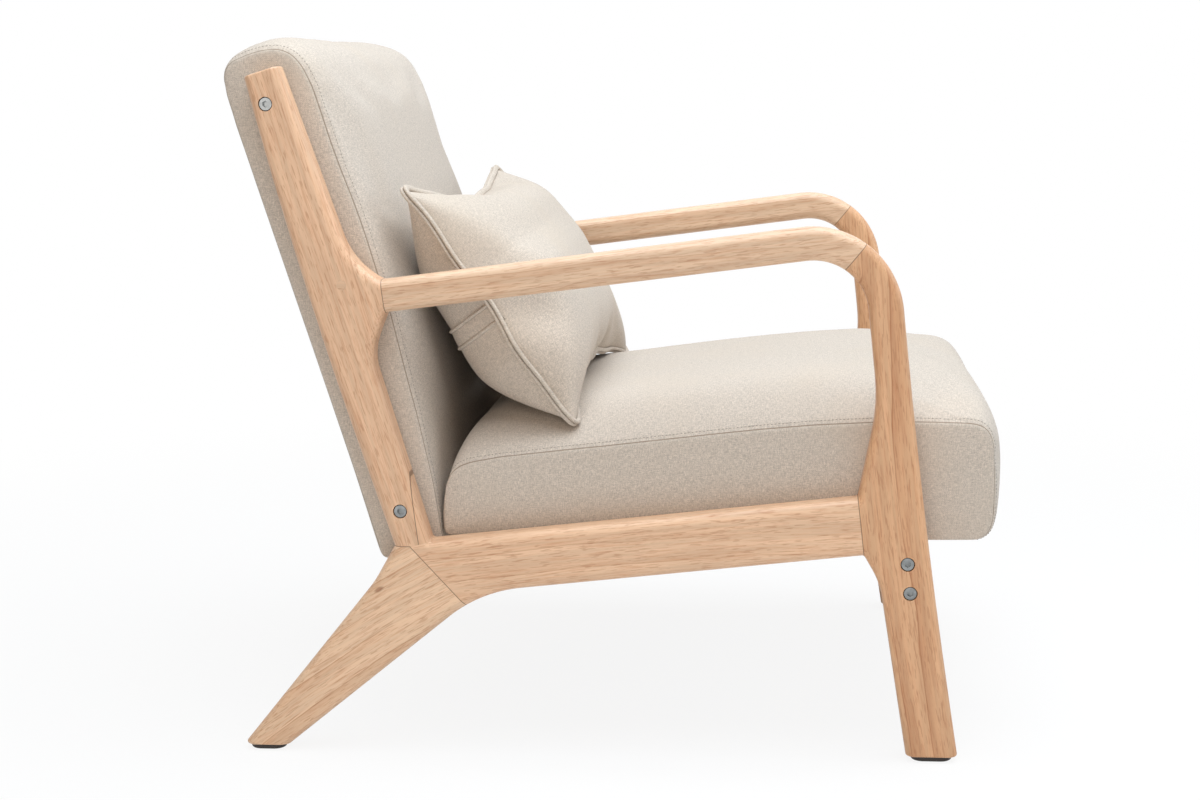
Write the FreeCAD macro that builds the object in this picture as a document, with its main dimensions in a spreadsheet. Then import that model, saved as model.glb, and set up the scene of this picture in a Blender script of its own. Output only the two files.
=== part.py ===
import FreeCAD, Part
# Single-seat lounge armchair: two glued timber side frames, joined by a bolted cross rail and by an
# upholstered back, with an upholstered seat and a loose lumbar pillow.
#
# Millimetres.  +Z is up, the sitter faces -Y, and X runs across the chair.  The origin is on the floor
# under the middle of the chair's bounding box.  A side profile is drawn in (forward, up) points, where
# forward is -Y.

import math
import os

import Sketcher
from FreeCAD import Placement, Rotation, Vector

TINY = 1e-4
BEYOND = 900.0  # further than any piece reaches, for the far sides of cutting shapes
BELOW = -50.0  # lower than any piece reaches
SPOKE = 12.0  # how far the cutting lines of the side frame's joints run on into its opening
MITRE_SPOKE = 40.0  # the same at the bend, whose inside is well rounded

SIZES = (
    # alias, value, meaning
    ("chair_width", 670, "outside to outside of the side frames"),
    ("stock", 35, "thickness of the side frame timber, across the chair"),
    ("edge_round", 10, "roundover along the frame's edges"),
    ("end_round", 2.5, "roundover at the feet and at the post's top"),
    ("inside_radius", 4, "radius in the frame's tight inside corners"),
    # armrest
    ("arm_joint_forward", -236.5, "armrest's top edge where it meets the post"),
    ("arm_joint_up", 510.8, "height of that edge"),
    ("arm_pitch", 6.8, "rise of the armrest towards the front, degrees"),
    ("arm_depth", 34, "height of the armrest's section"),
    ("arm_joint_radius", 9, "outline radius over the armrest and post joint"),
    ("bend_outer_radius", 94, "outside of the bend into the front leg"),
    ("bend_inner_radius", 57, "inside of that bend"),
    ("mitre_setback", 4, "how far the armrest's mitre stands behind the bend's corners"),
    # front leg
    ("shoulder_forward", 304.2, "front edge of the leg below the bend"),
    ("shoulder_up", 480, "height of that point"),
    ("shoulder_lean", 5.8, "lean of the leg's upper part from upright, degrees"),
    ("leg_top_width", 35.5, "width of the leg below the bend"),
    ("waist_radius", 200, "inner edge between the leg's straight part and its flare"),
    ("leg_flare_lean", 11.5, "lean of the flare above the side rail, degrees"),
    ("leg_bow_radius", 7500, "bow of the leg's front edge"),
    ("front_foot_forward", 365, "front corner of the front foot"),
    ("front_foot_length", 54, "length of the front foot's sole"),
    ("leg_front_lean", 8.7, "lean of the front edge at the foot, degrees"),
    ("leg_rear_lean", 8.8, "lean of the rear edge below the side rail, degrees"),
    ("leg_gusset_lean", 29.6, "lean of the flare under the side rail, degrees"),
    ("leg_gusset_radius", 87, "radius below that flare"),
    # side rail
    ("rail_joint_forward", 259, "side rail's top edge where it meets the front leg"),
    ("rail_joint_up", 282, "height of that edge"),
    ("rail_pitch", 6.2, "rise of the side rail towards the front, degrees"),
    ("rail_depth", 60.6, "height of the side rail's section"),
    # post
    ("post_toe_forward", -191, "front edge of the post's foot, on the side rail"),
    ("post_heel_forward", -230, "rear edge of the post's foot, on the rear leg"),
    ("post_heel_up", 228, "height of that edge"),
    ("post_front_lean", 16.3, "lean of the front edge below the armrest, degrees"),
    ("post_rear_lean", 18.3, "lean of the rear edge's lower half, degrees"),
    ("post_top_forward", -375, "rear corner of the post's top"),
    ("post_top_up", 722, "height of that corner"),
    ("post_top_lean", 14.1, "lean of the rear edge's upper half, degrees"),
    ("post_top_width", 38, "width of the post's top"),
    ("post_top_cut", 16.8, "rise of the top's cut towards the front, degrees"),
    ("post_bow_radius", 5000, "bow of the post's rear edge"),
    ("post_taper_lean", 19, "lean of the front edge above the armrest, degrees"),
    ("post_flare_slope", 28, "slope of the flare where it meets the armrest, degrees"),
    ("post_flare_radius", 98, "radius above that flare"),
    ("post_gusset_lean", 21.8, "lean of the flare under the armrest, degrees"),
    ("post_gusset_radius", 60, "radius below that flare"),
    # rear leg
    ("rear_foot_forward", -401.5, "rear corner of the rear foot"),
    ("rear_foot_length", 49.5, "length of the rear foot's sole"),
    ("rear_leg_slope", 50.8, "slope of the rear leg's upper edge, degrees"),
    ("heel_slope", 60, "slope of that edge just under the post, degrees"),
    ("heel_radius", 120, "radius between the two slopes"),
    ("rear_leg_under_slope", 38.9, "slope of the rear leg's lower edge, degrees"),
    ("knee_radius", 150, "radius from the rear leg's lower edge to the side rail"),
    ("rear_mitre_forward", -212.5, "top end of the mitre between rear leg and side rail"),
    ("rear_mitre_slope", 47.5, "slope of that mitre, degrees"),
    # joinery
    ("dowel_diameter", 8, "fluted beech dowels"),
    ("dowel_length", 36, ""),
    ("dowel_gap", 0.1, "glue line around and beyond a dowel"),
    ("arm_dowel_spacing", 15, "between the two dowels of each armrest joint"),
    ("rail_dowel_spacing", 32, "between the two dowels of each side rail joint"),
    ("plug_diameter", 10, "face plug over the armrest joint's locking hole"),
    ("plug_length", 8, ""),
    ("plug_forward", -277.5, "middle of the plug"),
    ("plug_up", 506, ""),
    # bolts
    ("bolt_diameter", 8, "M8 socket head cap screws"),
    ("bolt_length", 55, "under the head"),
    ("bolt_head_diameter", 13, ""),
    ("bolt_head_height", 8, ""),
    ("socket_width", 6, "across the flats of the hexagon socket"),
    ("socket_depth", 4, ""),
    ("bolt_clearance", 0.5, "added to the bolt's diameter in plain holes"),
    ("thread_clearance", 0.2, "added to the bolt's diameter in nuts and inserts"),
    ("recess_diameter", 15, "counterbore for a bolt's head"),
    ("recess_depth", 1.5, "from the frame's face down to a head's top"),
    ("washer_thickness", 2, "spring washer under each head"),
    ("washer_diameter", 12.7, ""),
    ("upper_bolt_forward", -351.5, "back's upper bolts"),
    ("upper_bolt_up", 694, ""),
    ("lower_bolt_forward", -222, "back's lower bolts"),
    ("lower_bolt_up", 266, ""),
    # cross rail
    ("cross_rail_forward", 312, "middle of the cross rail between the front legs"),
    ("cross_rail_thickness", 28, ""),
    ("cross_rail_depth", 63, ""),
    ("cross_bolt_spacing", 31, "between the two bolts at each end"),
    ("cross_bolt_stagger", 3, "forward offset between the two bolts"),
    ("barrel_nut_diameter", 10, ""),
    ("barrel_nut_length", 20, ""),
    ("barrel_nut_setback", 22, "from the cross rail's end to a barrel nut"),
    ("barrel_nut_gap", 0.2, "added to the barrel nut's diameter in its hole"),
    # glides
    ("glide_height", 6, "plastic glide under each foot"),
    ("glide_inset", 5.5, "from a foot's ends to its glide's ends"),
    ("glide_width", 25, "across the chair"),
    ("glide_round", 2.5, "roundover of a glide's lower edge"),
    ("nail_diameter", 3, ""),
    ("nail_length", 22, ""),
    ("nail_head_diameter", 8, ""),
    ("nail_head_height", 1.5, ""),
    ("nail_recess", 1, "from a glide's underside up to its nail's head"),
    ("nail_gap", 0.1, "around a nail"),
    # upholstery
    ("side_gap", 2, "between a side frame and the upholstery"),
    ("cover_thickness", 1.2, "upholstery fabric"),
    ("packing_gap", 0.3, "between layers of upholstery"),
    ("frame_board", 22, "thickness of the inner frames' boards"),
    ("sheet_thickness", 0.8, "dust cover under the seat"),
    ("hem_width", 25, "cover turned under the seat"),
    # seat
    ("seat_base_up", 230, "underside of the seat, on the cross rail"),
    ("seat_front_forward", 408.5, "front of the seat"),
    ("seat_rear_forward", -173.5, "rear of the seat at its underside"),
    ("seat_rear_lean", 8, "lean of the seat's rear, degrees"),
    ("seat_rear_up", 346, "crown of the seat at its rear"),
    ("seat_peak_forward", 295, "highest point of the seat's crown"),
    ("seat_peak_up", 394, ""),
    ("seat_front_up", 382, "crown of the seat at its front"),
    ("seat_rear_radius", 24, ""),
    ("seat_peak_radius", 260, ""),
    ("seat_front_radius", 40, ""),
    ("seat_lip_radius", 22, "lower front edge"),
    ("seat_heel_radius", 13, "lower rear edge"),
    ("seat_side_round", 12, "roundover along the seat's sides"),
    ("seat_board_depth", 44, "height of the seat frame's boards"),
    ("seat_front_padding", 24, "foam in front of the seat frame"),
    ("seat_rear_padding", 13, "foam behind the seat frame"),
    ("seat_side_padding", 10, "foam beside the seat frame"),
    ("bearer_width", 80, "board over the cross rail that takes the seat's screws"),
    ("bearer_thickness", 18, ""),
    ("block_leg", 45, "legs of the triangular corner blocks"),
    ("spring_count", 5, "sinuous springs, front to rear"),
    ("spring_wire", 3.6, ""),
    ("spring_width", 48, ""),
    ("spring_pitch", 24, "between neighbouring bends"),
    ("clip_length", 16, ""),
    ("clip_width", 12, ""),
    ("clip_thickness", 1.2, ""),
    ("felt_thickness", 3, "insulator over the springs"),
    # back
    ("back_foot_forward", -247.5, "lower rear corner of the back"),
    ("back_foot_up", 203, ""),
    ("back_lean", 17.35, "lean of the back's rear face, degrees"),
    ("back_rear_top_up", 741, "upper rear corner, before its rounding"),
    ("back_crown_up", 772.3, "upper front corner, before its rounding"),
    ("back_crown_forward", -321, ""),
    ("back_shoulder_forward", -243, "front face at shoulder height"),
    ("back_shoulder_up", 576, ""),
    ("back_lumbar_forward", -210, "front face at lumbar height"),
    ("back_lumbar_up", 460, ""),
    ("back_toe_forward", -177, "front face at the seat's underside"),
    ("back_rear_radius", 28, ""),
    ("back_crown_radius", 46, ""),
    ("back_face_radius", 420, ""),
    ("back_foot_radius", 9, ""),
    ("back_side_round", 8, "roundover along the back's sides"),
    ("stile_width", 30, "across the chair"),
    ("stile_depth", 52, "front to rear"),
    ("stile_length", 524, ""),
    ("stile_inset", 3, "from the back's lining to the stiles' sides and feet"),
    ("stile_setback", 12.5, "from the back's rear face to the stiles"),
    ("back_board_height", 60, "boards between the stiles"),
    ("mid_board_up", 270, "middle board, from the back's foot"),
    ("insert_diameter", 12, "threaded inserts in the stiles"),
    ("insert_length", 22, ""),
    ("strap_count", 5, "elastic straps across the stiles"),
    ("strap_width", 50, ""),
    ("strap_thickness", 1.5, ""),
    ("rear_panel_margin", 9, "from the back's edges to its rear panel's seam"),
    # seat fixings
    ("seat_screw_count", 3, "up through the cross rail"),
    ("screw_diameter", 5, ""),
    ("screw_head_diameter", 10, ""),
    ("screw_head_height", 3, ""),
    ("seat_screw_length", 60, ""),
    ("seat_screw_spacing", 200, ""),
    ("seat_screw_engagement", 14, "length of a seat screw inside the bearer"),
    ("screw_gap", 0.1, "around a screw"),
    ("plate_across", 190, "middle of each plate that ties the seat to the back"),
    ("plate_width", 50, ""),
    ("plate_thickness", 2.5, ""),
    ("plate_seat_length", 34, ""),
    ("plate_back_length", 76, ""),
    ("plate_screw_length", 16, ""),
    ("plate_screw_diameter", 4, ""),
    ("plate_screw_head_diameter", 8, ""),
    ("plate_screw_head_height", 2, ""),
    ("plate_screw_spacing", 28, ""),
    # pillow
    ("pillow_length", 548, "across the chair"),
    ("pillow_height", 303, "from its lower edge to its upper edge"),
    ("pillow_lean", 36.3, "lean of the seam plane, degrees"),
    ("pillow_foot_forward", -43, "lower edge of the pillow"),
    ("pillow_clearance", 1.5, "from the seat's crown up to that edge"),
    ("pillow_front_bulge", 70, "from the seam plane to the front face"),
    ("pillow_rear_bulge", 66, "from the seam plane to the rear face"),
    ("pillow_edge", 5, "thickness at the seam"),
)

doc = FreeCAD.newDocument("lounge_armchair")
sheet = doc.addObject("Spreadsheet::Sheet", "Sizes")
for row, (alias, value, meaning) in enumerate(SIZES, start=1):
    sheet.set(f"A{row}", meaning or alias.replace("_", " "))
    sheet.set(f"B{row}", str(value))
    sheet.setAlias(f"B{row}", alias)
doc.recompute()


class Values:
    """The sheet's cells, read by alias."""

    def __getattr__(self, alias):
        return float(sheet.get(alias))


size = Values()
parts = []  # the document objects that are written out, one for each node


# ---------------------------------------------------------------- geometry of side profiles

def spot(forward, up):
    """A point of a side profile."""
    return Vector(forward, up, 0)


def place(across, point):
    """A side profile's point, at a distance across the chair."""
    return Vector(across, -point.x, point.y)


class Line:
    """A straight line of a side profile, at an angle above the forward direction, in degrees."""

    def __init__(self, point, angle):
        self.point = point
        self.angle = angle
        self.direction = Vector(math.cos(math.radians(angle)), math.sin(math.radians(angle)), 0)
        self.normal = Vector(-self.direction.y, self.direction.x, 0)

    def shifted(self, distance):
        return Line(self.point + self.normal * distance, self.angle)

    def meet(self, other):
        turn = self.direction.cross(other.direction).z
        step = (other.point - self.point).cross(other.direction).z / turn
        return self.point + self.direction * step

    def at_up(self, up):
        return self.meet(Line(spot(0, up), 0))

    def at_forward(self, forward):
        return self.meet(Line(spot(forward, 0), 90))


def through(first, second):
    step = second - first
    return Line(first, math.degrees(math.atan2(step.y, step.x)))


def leaning_back(point, lean):
    """A line that rises towards the rear, at a lean from upright."""
    return Line(point, 90 + lean)


def leaning_forward(point, lean):
    return Line(point, 90 - lean)


def corner_arcs(corners):
    """Start, middle and end of the arc at each corner.  Two arcs that meet on a side share it."""
    count = len(corners)
    spans = []
    for index, (corner, radius) in enumerate(corners):
        to_last = corners[index - 1][0] - corner
        to_next = corners[(index + 1) % count][0] - corner
        half_angle = to_last.getAngle(to_next) / 2
        spans.append([to_last, to_next, half_angle, radius / math.tan(half_angle)])
    fits = [1.0] * count
    for index in range(count):
        following = (index + 1) % count
        needed = spans[index][3] + spans[following][3]
        fit = min(1.0, 0.999 * spans[index][1].Length / max(needed, TINY))
        fits[index] = min(fits[index], fit)
        fits[following] = min(fits[following], fit)
    arcs = []
    for index, (corner, radius) in enumerate(corners):
        to_last, to_next, half_angle, reach = spans[index]
        reach *= fits[index]
        unit_last = to_last * (1 / to_last.Length)
        unit_next = to_next * (1 / to_next.Length)
        inward = unit_last + unit_next
        sagitta = reach * (1 / math.cos(half_angle) - math.tan(half_angle))
        middle = corner + inward * (sagitta / max(inward.Length, TINY))
        arcs.append((corner + unit_last * reach, middle, corner + unit_next * reach))
    return arcs


def pair(spacing):
    """Two equal offsets, one each side of a middle."""
    return [-spacing / 2, spacing / 2]


def rounding_middle(corners, corner):
    """The middle of the arc that rounds one corner of an outline."""
    index = [point for point, radius in corners].index(corner)
    return corner_arcs(corners)[index][1]


def rounded(corners, to_plane):
    """Lines and arcs of a closed outline of (point, radius) corners."""
    arcs = corner_arcs(corners)
    geometry = []
    for index, (start, middle, end) in enumerate(arcs):
        if (end - start).Length > TINY:
            geometry.append(Part.Arc(to_plane(start), to_plane(middle), to_plane(end)))
        following = arcs[(index + 1) % len(arcs)][0]
        if (following - end).Length > TINY:
            geometry.append(Part.LineSegment(to_plane(end), to_plane(following)))
    return geometry


# ---------------------------------------------------------------- document objects

def keep(obj, node):
    """Names an object for its node, and puts it on the list of written parts."""
    obj.Label = node
    parts.append(obj)
    return obj


def feature(node, shape):
    """A part whose shape is set by Part's own functions."""
    obj = doc.addObject("Part::Feature", node)
    obj.Shape = shape
    return keep(obj, node)


def origin_plane(body, role):
    return next(item for item in body.Origin.OriginFeatures if item.Role == role)


def pad_body(name, role, curves, start, thickness):
    """A body padded from closed curves on an origin plane.

    start and thickness are expressions on the sheet: where the pad starts, and how thick it is.
    """
    body = doc.addObject("PartDesign::Body", name)
    sketch = body.newObject("Sketcher::SketchObject", f"{name}_outline")
    sketch.AttachmentSupport = [(origin_plane(body, role), "")]
    sketch.MapMode = "FlatFace"
    sketch.setExpression(".AttachmentOffset.Base.z", start)
    for curve in curves:
        sketch.addConstraint(Sketcher.Constraint("Block", sketch.addGeometry(curve)))
    pad = body.newObject("PartDesign::Pad", f"{name}_pad")
    pad.Profile = sketch
    pad.setExpression("Length", thickness)
    sketch.Visibility = False
    doc.recompute()
    return body


def profile_body(name, outlines, across, thickness):
    """A body padded across the chair from closed outlines in the side profile."""
    curves = []
    for corners in outlines:
        curves += rounded(corners, lambda point: Vector(-point.x, point.y, 0))
    return pad_body(name, "YZ_Plane", curves, across, thickness)


def round_edges(body, edges, radius):
    """Rounds the named edges of a body's tip; radius is an expression on the sheet."""
    base = body.Tip
    rounding = body.newObject("PartDesign::Fillet", f"{body.Name}_round")
    rounding.Base = (base, edges)
    rounding.setExpression("Radius", radius)
    doc.recompute()
    return rounding


def named_edges(shape, test):
    return [f"Edge{index}" for index, edge in enumerate(shape.Edges, start=1) if test(edge)]


def middle_of(edge):
    return edge.valueAt((edge.FirstParameter + edge.LastParameter) / 2)


def in_profile(edge):
    """True for an edge that lies in one plane across the chair."""
    xs = [vertex.X for vertex in edge.Vertexes] + [middle_of(edge).x]
    return max(xs) - min(xs) < TINY


def cylinder(name, start, direction, diameter, length):
    """A cylinder from start along direction; diameter and length are expressions on the sheet."""
    obj = doc.addObject("Part::Cylinder", name)
    obj.setExpression("Radius", f"({diameter}) / 2")
    obj.setExpression("Height", length)
    obj.Placement = Placement(start, Rotation(Vector(0, 0, 1), direction))
    return obj


def box(name, corner, lengths, turn=Rotation()):
    """A box from its lowest corner; each length is an expression on the sheet."""
    obj = doc.addObject("Part::Box", name)
    for side, length in zip(("Length", "Width", "Height"), lengths):
        obj.setExpression(side, length)
    obj.Placement = Placement(corner, turn)
    return obj


def gathered(name, objects):
    obj = doc.addObject("Part::Compound", name)
    obj.Links = list(objects)
    return obj


def cut(name, base, tools):
    """The base less its tools."""
    tools = list(tools)
    obj = doc.addObject("Part::Cut", name)
    obj.Base = base
    obj.Tool = tools[0] if len(tools) == 1 else gathered(f"{name}_holes", tools)
    return obj


def copies(node, master, placements):
    """Separate solids of one fastener in one node."""
    doc.recompute()
    solids = []
    for placement in placements:
        solid = master.Shape.copy()
        solid.Placement = placement.multiply(solid.Placement)
        solids.append(solid)
    return feature(node, Part.makeCompound(solids))


# ---------------------------------------------------------------- side frames

SIDES = (("right", -1), ("left", 1))

arm_top = Line(spot(size.arm_joint_forward, size.arm_joint_up), size.arm_pitch)
arm_under = arm_top.shifted(-size.arm_depth)
arm_joint = Line(arm_top.point, size.arm_pitch - 90)
arm_joint_top = arm_top.point
arm_joint_bottom = arm_joint.meet(arm_under)

leg_front_upper = leaning_back(spot(size.shoulder_forward, size.shoulder_up), size.shoulder_lean)
leg_inner = leg_front_upper.shifted(size.leg_top_width)
front_foot_front = spot(size.front_foot_forward, size.glide_height)
front_foot_rear = front_foot_front - spot(size.front_foot_length, 0)
leg_front_lower = leaning_back(front_foot_front, size.leg_front_lean)
leg_rear = leaning_back(front_foot_rear, size.leg_rear_lean)

rail_top = Line(spot(size.rail_joint_forward, size.rail_joint_up), size.rail_pitch)
rail_under = rail_top.shifted(-size.rail_depth)
rail_joint = Line(rail_top.point, size.rail_pitch - 90)
rail_joint_top = rail_top.point
rail_joint_bottom = rail_joint.meet(rail_under)
leg_flare = leaning_forward(rail_joint_top, size.leg_flare_lean)
leg_gusset = leaning_back(rail_joint_bottom, size.leg_gusset_lean)

post_toe = rail_top.at_forward(size.post_toe_forward)
post_heel = spot(size.post_heel_forward, size.post_heel_up)
post_front_lower = leaning_back(post_toe, size.post_front_lean)
post_rear_lower = leaning_back(post_heel, size.post_rear_lean)
post_top_rear = spot(size.post_top_forward, size.post_top_up)
post_rear_upper = leaning_back(post_top_rear, size.post_top_lean)
post_top = Line(post_top_rear, size.post_top_cut)
post_top_front = post_top_rear + post_top.direction * size.post_top_width
post_front_upper = leaning_back(post_top_front, size.post_taper_lean)
post_flare = Line(arm_joint_top, 180 - size.post_flare_slope)
post_gusset = leaning_forward(arm_joint_bottom, size.post_gusset_lean)

rear_foot_rear = spot(size.rear_foot_forward, size.glide_height)
rear_foot_front = rear_foot_rear + spot(size.rear_foot_length, 0)
rear_leg_upper = Line(rear_foot_rear, size.rear_leg_slope)
rear_leg_heel = Line(post_heel, size.heel_slope)
rear_leg_under = Line(rear_foot_front, size.rear_leg_under_slope)
rear_mitre_top = spot(size.rear_mitre_forward, size.post_heel_up)
rear_mitre = Line(rear_mitre_top, -size.rear_mitre_slope)

bend_outer = arm_top.meet(leg_front_upper)
bend_inner = arm_under.meet(leg_inner)

FRAME_OUTSIDE = [
    (post_top_rear, 0),
    (post_rear_upper.meet(post_rear_lower), size.post_bow_radius),
    (post_heel, size.inside_radius),
    (rear_leg_heel.meet(rear_leg_upper), size.heel_radius),
    (rear_foot_rear, 0),
    (rear_foot_front, 0),
    (rear_leg_under.meet(rail_under), size.knee_radius),
    (rail_joint_bottom, size.inside_radius),
    (leg_gusset.meet(leg_rear), size.leg_gusset_radius),
    (front_foot_rear, 0),
    (front_foot_front, 0),
    (leg_front_lower.meet(leg_front_upper), size.leg_bow_radius),
    (bend_outer, size.bend_outer_radius),
    (arm_joint_top, size.arm_joint_radius),
    (post_flare.meet(post_front_upper), size.post_flare_radius),
    (post_top_front, 0),
]
FRAME_OPENING = [
    (arm_joint_bottom, size.inside_radius),
    (post_gusset.meet(post_front_lower), size.post_gusset_radius),
    (post_toe, size.inside_radius),
    (rail_joint_top, size.inside_radius),
    (leg_flare.meet(leg_inner), size.waist_radius),
    (bend_inner, size.bend_inner_radius),
]
SAWN_ENDS = ((post_top_rear, post_top_front), (rear_foot_rear, rear_foot_front),
             (front_foot_rear, front_foot_front))

mitre = through(bend_inner, bend_outer).shifted(size.mitre_setback)
toe_bisector = Line(post_toe, (size.rail_pitch + 90 + size.post_front_lean) / 2)
hub = (arm_joint_bottom + post_toe + rail_joint_top + bend_inner) * 0.25
arm_spoke = arm_joint_bottom + arm_joint.direction * SPOKE
mitre_spoke = mitre.meet(Line(bend_inner, mitre.angle + 90)) - mitre.direction * MITRE_SPOKE
rail_spoke = rail_joint_top - rail_joint.direction * SPOKE
toe_spoke = post_toe + toe_bisector.direction * SPOKE

ZONES = {
    # the part of the side frame's blank that each timber takes
    "back_post": [
        spot(-BEYOND, post_heel.y), rear_mitre_top, post_toe, toe_spoke, hub, arm_spoke,
        arm_joint.at_up(BEYOND), spot(-BEYOND, BEYOND),
    ],
    "armrest": [arm_spoke, hub, mitre_spoke, mitre.at_up(BEYOND), arm_joint.at_up(BEYOND)],
    "front_leg": [
        hub, rail_spoke, rail_joint.at_up(BELOW), spot(BEYOND, BELOW), spot(BEYOND, BEYOND),
        mitre.at_up(BEYOND), mitre_spoke,
    ],
    "side_rail": [
        post_toe, rear_mitre_top, rear_mitre.at_up(BELOW), rail_joint.at_up(BELOW), rail_spoke, hub,
        toe_spoke,
    ],
    "rear_leg": [
        spot(-BEYOND, post_heel.y), spot(-BEYOND, BELOW), rear_mitre.at_up(BELOW), rear_mitre_top,
    ],
}


def on_sawn_end(edge):
    """True for an edge of the blank that bounds a foot's sole or the post's top."""
    middle = middle_of(edge)
    point = spot(-middle.y, middle.z)
    for first, second in SAWN_ENDS:
        step = second - first
        off = abs((point - first).cross(step).z) / step.Length
        along = (point - first).dot(step) / step.Length
        if off < TINY and -TINY < along < step.Length + TINY:
            return True
    return False


def frame_blank(side, sign):
    """A side frame's whole outline with its rounded edges, before it is split into timbers."""
    across = "Sizes.chair_width / 2 - Sizes.stock" if sign > 0 else "-Sizes.chair_width / 2"
    body = profile_body(f"{side}_frame_blank", [FRAME_OUTSIDE, FRAME_OPENING], across, "Sizes.stock")
    shape = body.Tip.Shape
    edges = named_edges(shape, lambda edge: in_profile(edge) and not on_sawn_end(edge))
    round_edges(body, edges, "Sizes.edge_round")
    shape = body.Tip.Shape
    round_edges(body, named_edges(shape, on_sawn_end), "Sizes.end_round")
    return body


zone_bodies = {}
for piece, corners in ZONES.items():
    outline = [(corner, 0) for corner in corners]
    zone_bodies[piece] = profile_body(
        f"{piece}_zone", [outline], "-Sizes.chair_width", "2 * Sizes.chair_width")

bend_middle = (rounding_middle(FRAME_OUTSIDE, bend_outer)
               + rounding_middle(FRAME_OPENING, bend_inner)) * 0.5
mitre_middle = mitre.meet(Line(bend_middle, mitre.angle + 90))
rear_mitre_bottom = rear_mitre.meet(rail_under)
foot_middle = (post_heel + rear_mitre_top) * 0.5
DOWELS = (
    # the two timbers, the joint's middle, the dowels' angle and their offsets across the joint
    ("back_post", "armrest", (arm_joint_top + arm_joint_bottom) * 0.5, size.arm_pitch,
     pair(size.arm_dowel_spacing)),
    ("armrest", "front_leg", mitre_middle, mitre.angle - 90, pair(size.arm_dowel_spacing)),
    ("side_rail", "front_leg", (rail_joint_top + rail_joint_bottom) * 0.5, size.rail_pitch,
     pair(size.rail_dowel_spacing)),
    ("side_rail", "rear_leg", (rear_mitre_top + rear_mitre_bottom) * 0.5,
     90 - size.rear_mitre_slope, pair(size.rail_dowel_spacing)),
    ("back_post", "rear_leg", foot_middle, size.post_rear_lean - 90, [0]),
)
BACK_BOLTS = (spot(size.upper_bolt_forward, size.upper_bolt_up),
              spot(size.lower_bolt_forward, size.lower_bolt_up))
cross_rail_top = size.seat_base_up
cross_rail_middle = cross_rail_top - size.cross_rail_depth / 2
bolt_step = spot(-size.cross_bolt_stagger / 2, size.cross_bolt_spacing / 2)
RAIL_BOLTS = (spot(size.cross_rail_forward, cross_rail_middle) + bolt_step,
              spot(size.cross_rail_forward, cross_rail_middle) - bolt_step)
front_foot_middle = (front_foot_front + front_foot_rear) * 0.5
rear_foot_middle = (rear_foot_front + rear_foot_rear) * 0.5
GLIDES = (("front", front_foot_middle, "front_leg", "front_foot_length"),
          ("rear", rear_foot_middle, "rear_leg", "rear_foot_length"))
HEAD_SEAT = "Sizes.recess_depth + Sizes.bolt_head_height + Sizes.washer_thickness"
plug_spot = spot(size.plug_forward, size.plug_up)
nail_top = size.nail_recess + size.nail_head_height

dowel_placements = []
for side, sign in SIDES:
    blank = frame_blank(side, sign)
    outside = sign * size.chair_width / 2
    inward = Vector(-sign, 0, 0)
    holes = {piece: [] for piece in ZONES}
    for first, second, middle, angle, offsets in DOWELS:
        along = Line(middle, angle)
        for index, shift in enumerate(offsets, start=1):
            start = along.shifted(shift).point - along.direction * (size.dowel_length / 2)
            centre = sign * (size.chair_width - size.stock) / 2
            direction = place(0, along.direction)
            dowel_placements.append(
                Placement(place(centre, start), Rotation(Vector(0, 0, 1), direction)))
            hole = cylinder(
                f"{side}_{first}_{second}_dowel_hole_{index}",
                place(centre, start - along.direction * size.dowel_gap), direction,
                "Sizes.dowel_diameter + 2 * Sizes.dowel_gap",
                "Sizes.dowel_length + 2 * Sizes.dowel_gap")
            holes[first].append(hole)
            holes[second].append(hole)
    bolt_spots = [("back_post", point) for point in BACK_BOLTS]
    bolt_spots += [("front_leg", point) for point in RAIL_BOLTS]
    for index, (piece, point) in enumerate(bolt_spots, start=1):
        start = place(outside, point)
        holes[piece].append(cylinder(
            f"{side}_bolt_recess_{index}", start, inward, "Sizes.recess_diameter", HEAD_SEAT))
        holes[piece].append(cylinder(
            f"{side}_bolt_hole_{index}", start, inward,
            "Sizes.bolt_diameter + Sizes.bolt_clearance", "Sizes.stock"))
    holes["back_post"].append(cylinder(
        f"{side}_plug_hole", place(outside, plug_spot), inward,
        "Sizes.plug_diameter + 2 * Sizes.dowel_gap", "Sizes.plug_length + Sizes.dowel_gap"))
    for end, middle, piece, length in GLIDES:
        start = Vector(sign * (size.chair_width - size.stock) / 2, -middle.x, 0)
        holes[piece].append(cylinder(
            f"{side}_{end}_nail_hole", start, Vector(0, 0, 1),
            "Sizes.nail_diameter + 2 * Sizes.nail_gap",
            "Sizes.nail_length + Sizes.nail_recess + Sizes.nail_head_height + Sizes.nail_gap"))
    for piece in ZONES:
        timber = doc.addObject("Part::Common", f"{side}_{piece}_timber")
        timber.Base = blank
        timber.Tool = zone_bodies[piece]
        if holes[piece]:
            timber = cut(f"{side}_{piece}_bored", timber, holes[piece])
        keep(timber, f"{piece}_{side}")

dowel = cylinder("dowel", Vector(), Vector(0, 0, 1), "Sizes.dowel_diameter", "Sizes.dowel_length")
copies("frame_dowels", dowel, dowel_placements)
plug = cylinder("plug", Vector(), Vector(0, 0, 1), "Sizes.plug_diameter", "Sizes.plug_length")
copies("joint_plugs", plug, [
    Placement(place(sign * size.chair_width / 2, plug_spot),
              Rotation(Vector(0, 0, 1), Vector(-sign, 0, 0))) for side, sign in SIDES])

# ---------------------------------------------------------------- glides

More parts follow.
